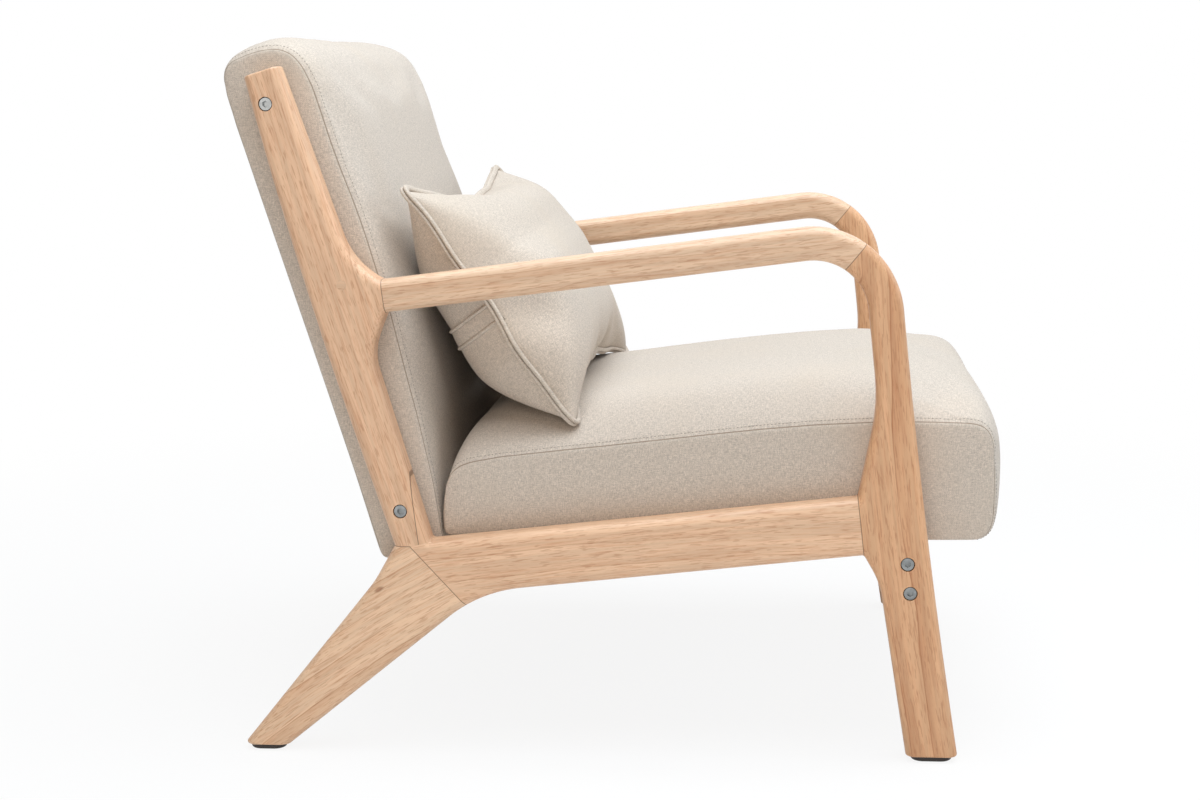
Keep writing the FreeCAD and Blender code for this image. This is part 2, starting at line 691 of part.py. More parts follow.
nail_shank = cylinder("nail_shank", Vector(0, 0, nail_top), Vector(0, 0, 1),
                      "Sizes.nail_diameter", "Sizes.nail_length")
nail_head = cylinder("nail_head", Vector(0, 0, size.nail_recess), Vector(0, 0, 1),
                     "Sizes.nail_head_diameter", "Sizes.nail_head_height")
nail = doc.addObject("Part::Fuse", "nail")
nail.Base = nail_shank
nail.Tool = nail_head
nail_placements = []
for end, middle, piece, length in GLIDES:
    placements = [Placement(Vector(sign * (size.chair_width - size.stock) / 2, -middle.x, 0),
                            Rotation()) for side, sign in SIDES]
    nail_placements += placements
    half = size.glide_width / 2
    reach = (sheet.get(length) - 2 * size.glide_inset) / 2 - half
    curves = [
        Part.LineSegment(Vector(half, -reach, 0), Vector(half, reach, 0)),
        Part.Arc(Vector(half, reach, 0), Vector(0, reach + half, 0), Vector(-half, reach, 0)),
        Part.LineSegment(Vector(-half, reach, 0), Vector(-half, -reach, 0)),
        Part.Arc(Vector(-half, -reach, 0), Vector(0, -reach - half, 0), Vector(half, -reach, 0)),
    ]
    glide = pad_body(f"{end}_glide", "XY_Plane", curves, "0", "Sizes.glide_height")
    lower = named_edges(glide.Tip.Shape, lambda edge: abs(middle_of(edge).z) < TINY)
    round_edges(glide, lower, "Sizes.glide_round")
    glide_bored = cut(f"{end}_glide_bored", glide, [
        cylinder(f"{end}_glide_hole", Vector(), Vector(0, 0, 1),
                 "Sizes.nail_diameter + 2 * Sizes.nail_gap", "Sizes.glide_height"),
        cylinder(f"{end}_glide_recess", Vector(), Vector(0, 0, 1),
                 "Sizes.nail_head_diameter + 2 * Sizes.nail_gap",
                 "Sizes.nail_recess + Sizes.nail_head_height")])
    copies(f"{end}_glides", glide_bored, placements)
copies("glide_nails", nail, nail_placements)

# ---------------------------------------------------------------- bolts

hexagon = doc.addObject("Part::Prism", "hexagon_socket")
hexagon.Polygon = 6
hexagon.setExpression("Circumradius", "Sizes.socket_width / sqrt(3)")
hexagon.setExpression("Height", "Sizes.socket_depth")
hexagon.Placement = Placement(Vector(0, 0, -size.bolt_head_height), Rotation())
head = cylinder("bolt_head", Vector(0, 0, -size.bolt_head_height), Vector(0, 0, 1),
                "Sizes.bolt_head_diameter", "Sizes.bolt_head_height")
shank = cylinder("bolt_shank", Vector(), Vector(0, 0, 1), "Sizes.bolt_diameter",
                 "Sizes.bolt_length")
screw = doc.addObject("Part::Fuse", "bolt_blank")
screw.Base = head
screw.Tool = shank
bolt = cut("bolt", screw, [hexagon])

washer_blank = cylinder("washer_blank", Vector(), Vector(0, 0, 1), "Sizes.washer_diameter",
                        "Sizes.washer_thickness")
washer_bore = cylinder("washer_bore", Vector(), Vector(0, 0, 1),
                       "Sizes.bolt_diameter + Sizes.bolt_clearance", "Sizes.washer_thickness")
washer_slit = box("washer_slit", Vector(-size.washer_thickness / 4, 0, 0),
                  ("Sizes.washer_thickness / 2", "Sizes.washer_diameter",
                   "Sizes.washer_thickness"))
washer = cut("washer", washer_blank, [washer_bore, washer_slit])


def bolt_placements(points, depth):
    """One placement for each bolt of both sides, at a depth below the frame's outer face."""
    placements = []
    for side, sign in SIDES:
        for point in points:
            start = place(sign * (size.chair_width / 2 - depth), point)
            placements.append(Placement(start, Rotation(Vector(0, 0, 1), Vector(-sign, 0, 0))))
    return placements


under_head = size.recess_depth + size.bolt_head_height
copies("back_bolts", bolt, bolt_placements(BACK_BOLTS, under_head))
copies("rail_bolts", bolt, bolt_placements(RAIL_BOLTS, under_head))
copies("spring_washers", washer, bolt_placements(BACK_BOLTS + RAIL_BOLTS, under_head))

# ---------------------------------------------------------------- cross rail

inner_face = size.chair_width / 2 - size.stock
cross_rail_base = cross_rail_top - size.cross_rail_depth
cross_rail_blank = box(
    "cross_rail_blank",
    Vector(-inner_face, -size.cross_rail_forward - size.cross_rail_thickness / 2, cross_rail_base),
    ("Sizes.chair_width - 2 * Sizes.stock", "Sizes.cross_rail_thickness",
     "Sizes.cross_rail_depth"))
cross_rail_holes = []
nut_placements = []
bolt_reach = "Sizes.bolt_length + " + HEAD_SEAT + " - Sizes.washer_thickness - Sizes.stock + 2"
for side, sign in SIDES:
    for index, point in enumerate(RAIL_BOLTS, start=1):
        cross_rail_holes.append(cylinder(
            f"{side}_cross_bolt_hole_{index}", place(sign * inner_face, point),
            Vector(-sign, 0, 0), "Sizes.bolt_diameter + Sizes.bolt_clearance", bolt_reach))
        centre = place(sign * (inner_face - size.barrel_nut_setback), point)
        start = centre + Vector(0, size.barrel_nut_length / 2, 0)
        nut_placements.append(Placement(start, Rotation(Vector(0, 0, 1), Vector(0, -1, 0))))
        rear_face = -size.cross_rail_forward + size.cross_rail_thickness / 2
        cross_rail_holes.append(cylinder(
            f"{side}_nut_hole_{index}", Vector(start.x, rear_face, start.z), Vector(0, -1, 0),
            "Sizes.barrel_nut_diameter + Sizes.barrel_nut_gap",
            f"{rear_face - start.y} + Sizes.barrel_nut_length + Sizes.barrel_nut_gap"))
nut_blank = cylinder("nut_blank", Vector(), Vector(0, 0, 1), "Sizes.barrel_nut_diameter",
                     "Sizes.barrel_nut_length")
nut_thread = cylinder(
    "nut_thread", Vector(-size.barrel_nut_diameter, 0, size.barrel_nut_length / 2),
    Vector(1, 0, 0), "Sizes.bolt_diameter + Sizes.thread_clearance",
    "2 * Sizes.barrel_nut_diameter")
barrel_nut = cut("barrel_nut", nut_blank, [nut_thread])

seat_frame_up = size.seat_base_up + size.sheet_thickness + size.cover_thickness \
    + 2 * size.packing_gap
seat_screw_tip = seat_frame_up + size.seat_screw_engagement
seat_screw_base = seat_screw_tip - size.seat_screw_length
seat_screw_placements = []
for index in range(int(size.seat_screw_count)):
    across = size.seat_screw_spacing * (index - (size.seat_screw_count - 1) / 2)
    start = Vector(across, -size.cross_rail_forward, seat_screw_base)
    seat_screw_placements.append(Placement(start, Rotation()))
    cross_rail_holes.append(cylinder(
        f"seat_screw_hole_{index + 1}", start, Vector(0, 0, 1),
        "Sizes.screw_diameter + 2 * Sizes.screw_gap", "Sizes.seat_screw_length"))
    cross_rail_holes.append(cylinder(
        f"seat_screw_recess_{index + 1}", Vector(across, start.y, cross_rail_base),
        Vector(0, 0, 1), "Sizes.screw_head_diameter + 2 * Sizes.screw_gap",
        f"{seat_screw_base - cross_rail_base} + Sizes.screw_head_height"))
keep(cut("cross_rail_bored", cross_rail_blank, cross_rail_holes), "front_cross_rail")
copies("barrel_nuts", barrel_nut, nut_placements)

seat_screw_head = cylinder("seat_screw_head", Vector(), Vector(0, 0, 1),
                           "Sizes.screw_head_diameter", "Sizes.screw_head_height")
seat_screw_shank = cylinder("seat_screw_shank", Vector(), Vector(0, 0, 1),
                            "Sizes.screw_diameter", "Sizes.seat_screw_length")
seat_screw = doc.addObject("Part::Fuse", "seat_screw")
seat_screw.Base = seat_screw_head
seat_screw.Tool = seat_screw_shank
copies("seat_screws", seat_screw, seat_screw_placements)

# ---------------------------------------------------------------- upholstery: shared forms

half_inner = inner_face - size.side_gap
first_layer = size.cover_thickness + size.packing_gap  # from the cover's outside to what it wraps
OUTSIDE = "0"
LINING = "Sizes.cover_thickness"
FILLING = "Sizes.cover_thickness + Sizes.packing_gap"
LAYERS = {OUTSIDE: 0, LINING: size.cover_thickness, FILLING: first_layer}


def inset(corners, distance):
    """The outline moved inwards, with its roundings kept concentric."""
    moved = []
    for index, (corner, radius) in enumerate(corners):
        before = through(corners[index - 1][0], corner).shifted(distance)
        after = through(corner, corners[(index + 1) % len(corners)][0]).shifted(distance)
        moved.append((before.meet(after), max(radius - distance, 0)))
    return moved


def cushion_body(name, corners, layer, side_round):
    """A cushion's outline padded between the side frames, with its side edges rounded.

    layer tells how deep the form lies inside the cover's outside, as a key of LAYERS; side_round
    is an alias.
    """
    depth = LAYERS[layer]
    wide = f"(Sizes.chair_width / 2 - Sizes.stock - Sizes.side_gap - ({layer}))"
    body = profile_body(name, [inset(corners, depth)], f"-{wide}", f"2 * {wide}")
    edges = named_edges(body.Tip.Shape, in_profile)
    round_edges(body, edges, f"Sizes.{side_round} - ({layer})")
    return body


def block(name, across, forward, up, tools=()):
    """A box between pairs of (low, high) values across, forward and up, kept as a part."""
    obj = doc.addObject("Part::Box", f"{name}_block")
    obj.Length = across[1] - across[0]
    obj.Width = forward[1] - forward[0]
    obj.Height = up[1] - up[0]
    obj.Placement = Placement(Vector(across[0], -forward[1], up[0]), Rotation())
    return cut(f"{name}_cut", obj, tools) if tools else obj


# ---------------------------------------------------------------- seat

seat_base = size.seat_base_up + size.sheet_thickness + size.packing_gap
seat_rear_line = leaning_back(spot(size.seat_rear_forward, seat_base), size.seat_rear_lean)
seat_peak = spot(size.seat_peak_forward, size.seat_peak_up)
SEAT_OUTLINE = [
    (spot(size.seat_rear_forward, seat_base), size.seat_heel_radius),
    (spot(size.seat_front_forward, seat_base), size.seat_lip_radius),
    (spot(size.seat_front_forward, size.seat_front_up), size.seat_front_radius),
    (seat_peak, size.seat_peak_radius),
    (seat_rear_line.at_up(size.seat_rear_up), size.seat_rear_radius),
]
gap = size.packing_gap
board_low = seat_base + first_layer
board_high = board_low + size.seat_board_depth
frame_half = half_inner - first_layer - size.seat_side_padding
frame_front = size.seat_front_forward - first_layer - size.seat_front_padding
frame_rear = size.seat_rear_forward + size.seat_rear_padding
rear_board_front = frame_rear + size.frame_board
front_board_rear = frame_front - size.frame_board
side_board_inner = frame_half - size.frame_board
board_levels = (board_low, board_high)

clip_channel = size.spring_wire + gap
clip_high = board_high + 2 * size.clip_thickness + clip_channel
felt_low = clip_high + gap
felt_high = felt_low + size.felt_thickness

tie_bend = Line(spot(size.back_foot_forward, size.back_foot_up), size.back_lean).at_up(
    size.seat_base_up)
tie_seat_screw = spot((frame_rear + rear_board_front) / 2, size.seat_base_up)
TIE_CENTRES = [sign * size.plate_across for side, sign in SIDES]
tie_screw_places = [centre + half * size.plate_screw_spacing / 2
                    for centre in TIE_CENTRES for half in (-1, 1)]
tie_seat_placements = [Placement(place(across, tie_seat_screw), Rotation())
                       for across in tie_screw_places]


def tie_holes(name, placements):
    """Screw holes through everything a tie plate's screws pass."""
    tools = []
    for index, placement in enumerate(placements, start=1):
        direction = placement.Rotation.multVec(Vector(0, 0, 1))
        start = placement.Base - direction * size.plate_thickness
        tools.append(cylinder(f"{name}_{index}", start, direction,
                              "Sizes.plate_screw_diameter + 2 * Sizes.screw_gap",
                              "Sizes.plate_screw_length + Sizes.screw_gap"))
    return tools


seat_tie_holes = tie_holes("seat_tie_hole", tie_seat_placements)
bearer_holes = [cylinder(
    f"bearer_hole_{index}", placement.Base, Vector(0, 0, 1),
    "Sizes.screw_diameter + 2 * Sizes.screw_gap", "Sizes.seat_screw_length + Sizes.screw_gap")
    for index, placement in enumerate(seat_screw_placements, start=1)]

keep(block("seat_front_board", (-frame_half, frame_half), (front_board_rear, frame_front),
           board_levels), "seat_frame_front")
keep(block("seat_rear_board", (-frame_half, frame_half), (frame_rear, rear_board_front),
           board_levels, seat_tie_holes), "seat_frame_rear")
for side, sign in SIDES:
    keep(block(f"seat_{side}_board", sorted((sign * side_board_inner, sign * frame_half)),
               (rear_board_front, front_board_rear), board_levels), f"seat_frame_{side}")
bearer_high = board_low + size.bearer_thickness
keep(block("seat_bearer_board", (-side_board_inner, side_board_inner),
           (size.cross_rail_forward - size.bearer_width / 2,
            size.cross_rail_forward + size.bearer_width / 2),
           (board_low, bearer_high), bearer_holes), "seat_bearer")

corner_blocks = []
for side, sign in SIDES:
    for forward, inward in ((rear_board_front, 1), (front_board_rear, -1)):
        corner = Vector(sign * side_board_inner, -forward, bearer_high + gap)
        points = [corner, corner - Vector(sign * size.block_leg, 0, 0),
                  corner - Vector(0, inward * size.block_leg, 0), corner]
        face = Part.Face(Part.makePolygon(points))
        corner_blocks.append(face.extrude(Vector(0, 0, board_high - gap - corner.z)))
feature("seat_corner_blocks", Part.makeCompound(corner_blocks))

# springs: cross runs joined by half rings, from the rear board's middle to the front board's
spring_rear = tie_seat_screw.x
spring_front = (front_board_rear + frame_front) / 2
run_count = round((spring_front - spring_rear) / size.spring_pitch)
run_step = (spring_front - spring_rear) / run_count
spring_up = board_high + size.clip_thickness + clip_channel / 2
run_reach = (size.spring_width - size.spring_wire - run_step) / 2
spring_edges = []
for index in range(run_count + 1):
    bend_side = -1 if index % 2 else 1
    forward = spring_rear + index * run_step
    start = Vector(-bend_side * run_reach, -forward, spring_up)
    end = Vector(bend_side * run_reach, -forward, spring_up)
    spring_edges.append(Part.makeLine(start, end))
    if index < run_count:
        middle = end + Vector(bend_side * run_step / 2, -run_step / 2, 0)
        following = end + Vector(0, -run_step, 0)
        spring_edges.append(Part.Arc(end, middle, following).toShape())
section = Part.Wire(Part.makeCircle(
    size.spring_wire / 2, Vector(-run_reach, -spring_rear, spring_up), Vector(1, 0, 0)))
spring = Part.Wire(spring_edges).makePipeShell([section], True, False)
spring_lane = 2 * side_board_inner / int(size.spring_count)
spring_centres = [spring_lane * (index + 0.5) - side_board_inner
                  for index in range(int(size.spring_count))]
springs = []
clips = []
for across in spring_centres:
    springs.append(spring.translated(Vector(across, 0, 0)))
    for forward in (spring_rear, spring_front):
        outer = Part.makeBox(size.clip_width, size.clip_length, clip_high - board_high)
        channel = Part.makeBox(size.clip_width, clip_channel, clip_channel)
        channel.translate(Vector(0, (size.clip_length - clip_channel) / 2, size.clip_thickness))
        clip = outer.cut(channel)
        clip.translate(Vector(across - size.clip_width / 2, -forward - size.clip_length / 2,
                              board_high))
        clips.append(clip)
feature("seat_springs", Part.makeCompound(springs))
feature("spring_clips", Part.makeCompound(clips))

keep(block("seat_felt_sheet", (-frame_half, frame_half), (frame_rear, frame_front),
           (felt_low, felt_high)), "seat_felt")

seat_cover_form = cushion_body("seat_cover_form", SEAT_OUTLINE, OUTSIDE, "seat_side_round")
seat_lining = cushion_body("seat_lining", SEAT_OUTLINE, LINING, "seat_side_round")
hem = size.hem_width
seat_opening = block(
    "seat_opening", (hem - half_inner, half_inner - hem),
    (size.seat_rear_forward + hem, size.seat_front_forward - hem), (0, board_high))
seat_room = block(
    "seat_room", (-frame_half - gap, frame_half + gap), (frame_rear - gap, frame_front + gap),
    (0, felt_high + gap))
keep(cut("seat_cover_hemmed", seat_cover_form, [seat_lining, seat_opening] + seat_tie_holes),
     "seat_cover")
seat_filling = cushion_body("seat_filling", SEAT_OUTLINE, FILLING, "seat_side_round")
keep(cut("seat_foam_hollowed", seat_filling, [seat_room]), "seat_foam")
keep(block("dust_sheet", (size.seat_heel_radius - half_inner, half_inner - size.seat_heel_radius),
           (size.seat_rear_forward + size.seat_heel_radius,
            size.seat_front_forward - size.seat_lip_radius),
           (size.seat_base_up, size.seat_base_up + size.sheet_thickness),
           seat_tie_holes + bearer_holes), "seat_dust_cover")

# ---------------------------------------------------------------- back

back_foot = spot(size.back_foot_forward, size.back_foot_up)
back_rear_line = leaning_back(back_foot, size.back_lean)
back_base_line = Line(back_foot, size.back_lean)
back_crown = spot(size.back_crown_forward, size.back_crown_up)
back_shoulder = spot(size.back_shoulder_forward, size.back_shoulder_up)
back_lumbar = spot(size.back_lumbar_forward, size.back_lumbar_up)
BACK_OUTLINE = [
    (back_foot, size.back_foot_radius),
    (back_base_line.at_forward(size.back_toe_forward), size.back_foot_radius),
    (back_lumbar, size.back_face_radius),
    (back_shoulder, size.back_face_radius),
    (back_crown, size.back_crown_radius),
    (back_rear_line.at_up(size.back_rear_top_up), size.back_rear_radius),
]
back_turn = Rotation(Vector(1, 0, 0), -size.back_lean)
back_origin = place(0, back_foot)


def back_block(name, across, depth, height, tools=()):
    """A box in the back's own directions: depth runs forward from its rear face, and height runs
    up along the lean."""
    obj = block(name, across, depth, height)
    obj.Placement = Placement(back_origin, back_turn).multiply(obj.Placement)
    return cut(f"{name}_cut", obj, tools) if tools else obj


stile_out = half_inner - first_layer - size.stile_inset
stile_in = stile_out - size.stile_width
stile_depths = (size.stile_setback, size.stile_setback + size.stile_depth)
stile_base = first_layer + size.stile_inset
stile_levels = (stile_base, stile_base + size.stile_length)
board_middle = sum(stile_depths) / 2
board_depths = (board_middle - size.frame_board / 2, board_middle + size.frame_board / 2)

tie_back_placements = []
for across in tie_screw_places:
    base = back_origin + back_turn.multVec(Vector(across, -board_middle, 0))
    tie_back_placements.append(Placement(base, back_turn))
back_tie_holes = tie_holes("back_tie_hole", tie_back_placements)

insert_bores = []
insert_placements = []
cover_bolt_holes = []
for side, sign in SIDES:
    for index, point in enumerate(BACK_BOLTS, start=1):
        inward = Vector(-sign, 0, 0)
        start = place(sign * stile_out, point)
        insert_placements.append(Placement(start, Rotation(Vector(0, 0, 1), inward)))
        insert_bores.append(cylinder(
            f"{side}_insert_bore_{index}", start, inward,
            "Sizes.insert_diameter + 2 * Sizes.screw_gap",
            "Sizes.insert_length + Sizes.screw_gap"))
        insert_bores.append(cylinder(
            f"{side}_stile_bolt_bore_{index}", start, inward,
            "Sizes.bolt_diameter + Sizes.bolt_clearance", "Sizes.stile_width"))
        cover_bolt_holes.append(cylinder(
            f"{side}_cover_bolt_hole_{index}", place(sign * inner_face, point), inward,
            "Sizes.bolt_diameter + Sizes.bolt_clearance", "Sizes.stile_width"))
for side, sign in SIDES:
    across = sorted((sign * stile_in, sign * stile_out))
    keep(back_block(f"{side}_stile", across, stile_depths, stile_levels, insert_bores),
         f"back_stile_{side}")
insert_blank = cylinder("insert_blank", Vector(), Vector(0, 0, 1), "Sizes.insert_diameter",
                        "Sizes.insert_length")
insert_thread = cylinder("insert_thread", Vector(), Vector(0, 0, 1),
                         "Sizes.bolt_diameter + Sizes.thread_clearance", "Sizes.insert_length")
copies("back_inserts", cut("insert", insert_blank, [insert_thread]), insert_placements)

BACK_BOARDS = (
    ("bottom", stile_levels[0], back_tie_holes),
    ("middle", size.mid_board_up, ()),
    ("top", stile_levels[1] - size.back_board_height, ()),
)
for level, low, tools in BACK_BOARDS:
    keep(back_block(f"{level}_board", (-stile_in, stile_in), board_depths,
                    (low, low + size.back_board_height), tools), f"back_board_{level}")

strap_room = stile_levels[1] - stile_levels[0] - 2 * size.back_board_height
strap_step = strap_room / size.strap_count
straps = []
for index in range(int(size.strap_count)):
    middle = stile_levels[0] + size.back_board_height + strap_step * (index + 0.5)
    strap = Part.makeBox(2 * stile_out - size.stile_width, size.strap_thickness, size.strap_width)
    strap.translate(Vector(size.stile_width / 2 - stile_out,
                           -stile_depths[1] - size.strap_thickness, middle - size.strap_width / 2))
    straps.append(strap)
webbing = feature("back_straps", Part.makeCompound(straps))
webbing.Placement = Placement(back_origin, back_turn)

back_cover_form = cushion_body("back_cover_form", BACK_OUTLINE, OUTSIDE, "back_side_round")
back_lining = cushion_body("back_lining", BACK_OUTLINE, LINING, "back_side_round")
margin = size.rear_panel_margin
panel_half = half_inner - margin
panel_levels = (margin, (back_rear_line.at_up(size.back_rear_top_up) - back_foot).Length
                - size.back_rear_radius - margin)
rear_window = back_block("rear_window", (-panel_half - gap / 2, panel_half + gap / 2),
                         (-gap, first_layer),
                         (panel_levels[0] - gap / 2, panel_levels[1] + gap / 2))
keep(cut("back_cover_opened", back_cover_form,
         [back_lining, rear_window] + cover_bolt_holes + back_tie_holes), "back_cover")
keep(back_block("rear_panel", (-panel_half, panel_half), (0, size.cover_thickness), panel_levels),
     "back_rear_panel")
back_filling = cushion_body("back_filling", BACK_OUTLINE, FILLING, "back_side_round")
back_room = back_block(
    "back_room", (-half_inner, half_inner),
    (stile_depths[0] - gap, stile_depths[1] + size.strap_thickness + gap),
    (-margin, stile_levels[1] + gap))
keep(cut("back_foam_hollowed", back_filling, [back_room]), "back_foam")

# ---------------------------------------------------------------- plates that tie seat and back

tie_front = tie_bend + spot(size.plate_seat_length, 0)
tie_rear = tie_bend - back_base_line.direction * size.plate_back_length
lower_flat = Line(tie_bend, 0).shifted(-size.plate_thickness)
lower_slope = back_base_line.shifted(-size.plate_thickness)
TIE_OUTLINE = [
    (tie_front, 0), (tie_bend, 0), (tie_rear, 0),
    (tie_rear - back_base_line.normal * size.plate_thickness, 0),
    (lower_flat.meet(lower_slope), 0), (tie_front - spot(0, size.plate_thickness), 0),
]
tie_plates = []
for side, sign in SIDES:
    start = f"{sign} * Sizes.plate_across - Sizes.plate_width / 2"
    plate = profile_body(f"{side}_tie_plate", [TIE_OUTLINE], start, "Sizes.plate_width")
    tie_plates.append(cut(f"{side}_tie_plate_bored", plate, seat_tie_holes + back_tie_holes))
keep(gathered("tie_plate_pair", tie_plates), "tie_plates")
plate_screw_head = cylinder(
    "plate_screw_head", Vector(0, 0, -size.plate_thickness - size.plate_screw_head_height),
    Vector(0, 0, 1), "Sizes.plate_screw_head_diameter", "Sizes.plate_screw_head_height")
plate_screw_shank = cylinder(
    "plate_screw_shank", Vector(0, 0, -size.plate_thickness), Vector(0, 0, 1),
    "Sizes.plate_screw_diameter", "Sizes.plate_screw_length")
plate_screw = doc.addObject("Part::Fuse", "plate_screw")
plate_screw.Base = plate_screw_head
plate_screw.Tool = plate_screw_shank
copies("plate_screws", plate_screw, tie_seat_placements + tie_back_placements)

# ---------------------------------------------------------------- pillow

seat_crown = through(seat_rear_line.at_up(size.seat_rear_up), seat_peak)
pillow_foot = seat_crown.at_forward(size.pillow_foot_forward) + spot(0, size.pillow_clearance)
pillow_rise = leaning_back(pillow_foot, size.pillow_lean).direction
pillow_place = Placement(place(0, pillow_foot + pillow_rise * (size.pillow_height / 2)),
                         Rotation(Vector(1, 0, 0), -size.pillow_lean))


def lens(half_span, depth, to_plane):
    """Two shallow arcs joined by the seam's thickness, at a depth inside the cover's outside."""
    half_edge = size.pillow_edge / 2 - depth
    half_span -= depth
    front = size.pillow_front_bulge - depth
    rear = size.pillow_rear_bulge - depth
    return [
        Part.Arc(to_plane(half_edge, -half_span), to_plane(front, 0), to_plane(half_edge, half_span)),
        Part.LineSegment(to_plane(half_edge, half_span), to_plane(-half_edge, half_span)),
        Part.Arc(to_plane(-half_edge, half_span), to_plane(-rear, 0),
                 to_plane(-half_edge, -half_span)),
        Part.LineSegment(to_plane(-half_edge, -half_span), to_plane(half_edge, -half_span)),
    ]


def pillow_form(name, layer):
    """Where a lens across the chair and a lens up the pillow overlap."""
    depth = LAYERS[layer]
    upright = pad_body(
        f"{name}_upright", "YZ_Plane",
        lens(size.pillow_height / 2, depth, lambda front, up: Vector(-front, up, 0)),
        f"-Sizes.pillow_length / 2 + {layer}", f"Sizes.pillow_length - 2 * ({layer})")
    level = pad_body(
        f"{name}_level", "XY_Plane",
        lens(size.pillow_length / 2, depth, lambda front, across: Vector(across, -front, 0)),
        f"-Sizes.pillow_height / 2 + {layer}", f"Sizes.pillow_height - 2 * ({layer})")
    form = doc.addObject("Part::Common", name)
    form.Base = upright
    form.Tool = level
    return form


pillow_cover = cut("pillow_case", pillow_form("pillow_outside", OUTSIDE),
                   [pillow_form("pillow_inside", LINING)])
pillow_cover.Placement = pillow_place
keep(pillow_cover, "pillow_cover")
pillow_filling = pillow_form("pillow_stuffing", FILLING)
pillow_filling.Placement = pillow_place
keep(pillow_filling, "pillow_filling")

# ---------------------------------------------------------------- checks and files

doc.recompute()
for obj in doc.Objects:
    if "Invalid" in obj.State or "Error" in obj.State:
        raise RuntimeError(f"{obj.Label} did not compute")
os.makedirs("parts", exist_ok=True)
for part in parts:
    if part.Shape.isNull() or not part.Shape.isValid():
        raise RuntimeError(f"{part.Label} has no valid shape")
for part in parts:
    part.Shape.exportStep(f"parts/{part.Label}.step")
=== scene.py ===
"""Lounge armchair: timber, fittings and upholstery built around the packed frame."""
import math

import bmesh
import bpy
import numpy as np
from bpy.props import FloatProperty, FloatVectorProperty, PointerProperty
from mathutils import Euler, Matrix, Vector
from mathutils.bvhtree import BVHTree


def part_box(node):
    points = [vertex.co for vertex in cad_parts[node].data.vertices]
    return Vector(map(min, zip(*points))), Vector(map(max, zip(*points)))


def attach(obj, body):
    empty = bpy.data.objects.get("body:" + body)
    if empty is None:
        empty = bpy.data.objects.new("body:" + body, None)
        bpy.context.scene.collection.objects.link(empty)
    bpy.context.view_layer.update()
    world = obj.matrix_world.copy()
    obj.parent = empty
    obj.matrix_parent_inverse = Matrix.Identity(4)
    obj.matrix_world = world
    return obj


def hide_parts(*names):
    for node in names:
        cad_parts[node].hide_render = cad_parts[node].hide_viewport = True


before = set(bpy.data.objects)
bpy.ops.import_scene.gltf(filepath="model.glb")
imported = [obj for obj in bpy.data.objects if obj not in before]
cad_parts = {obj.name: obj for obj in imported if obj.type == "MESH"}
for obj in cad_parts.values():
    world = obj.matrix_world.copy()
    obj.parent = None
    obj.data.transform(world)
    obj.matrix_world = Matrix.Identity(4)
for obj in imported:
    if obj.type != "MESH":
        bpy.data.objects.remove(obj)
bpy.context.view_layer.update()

bl_info = {
    "name": "Lounge Armchair",
    "version": (1, 0, 0),
    "blender": (4, 5, 0),
    "location": "View3D > Sidebar > Armchair",
    "description": "Upholsters and finishes a lounge armchair with timber side frames",
    "category": "Add Mesh",
}

WEAVE = "weave"  # the UV map that the cloths' threads follow, in metres
SHADED_SEAM = "shaded_seam"  # point attribute, 1 in a sewn groove, where the cloth takes painted shade
SEAM_RING = 0.0026  # from a seam to the first points beside it
TOUCH = 1e-5  # closer than this is the same place
PANEL_CLOTH, REAR_CLOTH, FLAP_CLOTH = 3.0, 2.0, 4.0  # where each is cut from the weave
BODY = "chair"
LOOSE = "pillow"


# ---------------------------------------------------------------- sizes and colours

def length_property(name, text, default):
    return FloatProperty(name=name, description=text, default=default, unit="LENGTH")


def number_property(name, text, default):
    return FloatProperty(name=name, description=text, default=default)


def power_property(name, text, default):
    return FloatProperty(name=name, description=text, default=default, unit="POWER")


def colour_property(name, text, *default):
    return FloatVectorProperty(name=name, description=text, default=default, subtype="COLOR")


class SeatProperties(bpy.types.PropertyGroup):
    """The seat cushion."""

    half_width: length_property(
        "Half width", "From the middle of the chair to the seat's side panels", 0.2978)
    crown: length_property("Crown", "How far the top stands above its side seams", 0.037)
    front_crown: length_property(
        "Front crown", "How far the front stands proud of its side seams", 0.0110)
    flatness: number_property("Flatness", "How flat the middle of the crown is", 5.5)
    edge: number_property("Edge", "How steeply the crown rises from its seams", 1.45)
    cell: length_property("Mesh cell", "Spacing of the cushion's mesh", 0.013)


class BackProperties(bpy.types.PropertyGroup):
    """The back cushion."""

    half_width: length_property(
        "Half width", "From the middle of the chair to the back's side panels", 0.2978)
    top_crown: length_property(
        "Top crown", "How far the top stands above its side seams", 0.0120)
    rear_crown: length_property(
        "Rear crown", "How far the rear panel stands proud of its side seams", 0.004)
    flatness: number_property("Flatness", "How flat the middle of the crown is", 10.0)
    edge: number_property("Edge", "How steeply the crown rises from its seams", 1.5)
    cell: length_property("Mesh cell", "Spacing of the cushion's mesh", 0.013)


class PillowProperties(bpy.types.PropertyGroup):
    """The loose lumbar pillow."""

    width: length_property("Width", "Across the chair, from ear to ear", 0.550)
    height: length_property("Height", "From the lower ears to the upper ears", 0.312)
    thickness: length_property("Thickness", "Through the middle of the pillow", 0.136)
    lean: FloatProperty(
        name="Lean", description="How far the pillow leans back from upright",
        default=math.radians(36.3), subtype="ANGLE")
    piping: length_property(
        "Piping", "Half the thickness of each of the seam's two ridges", 0.0023)
    flap: length_property("Flap", "Height of the flap over the fastener", 0.025)
    cell: length_property("Mesh cell", "Spacing of the pillow's mesh", 0.0064)


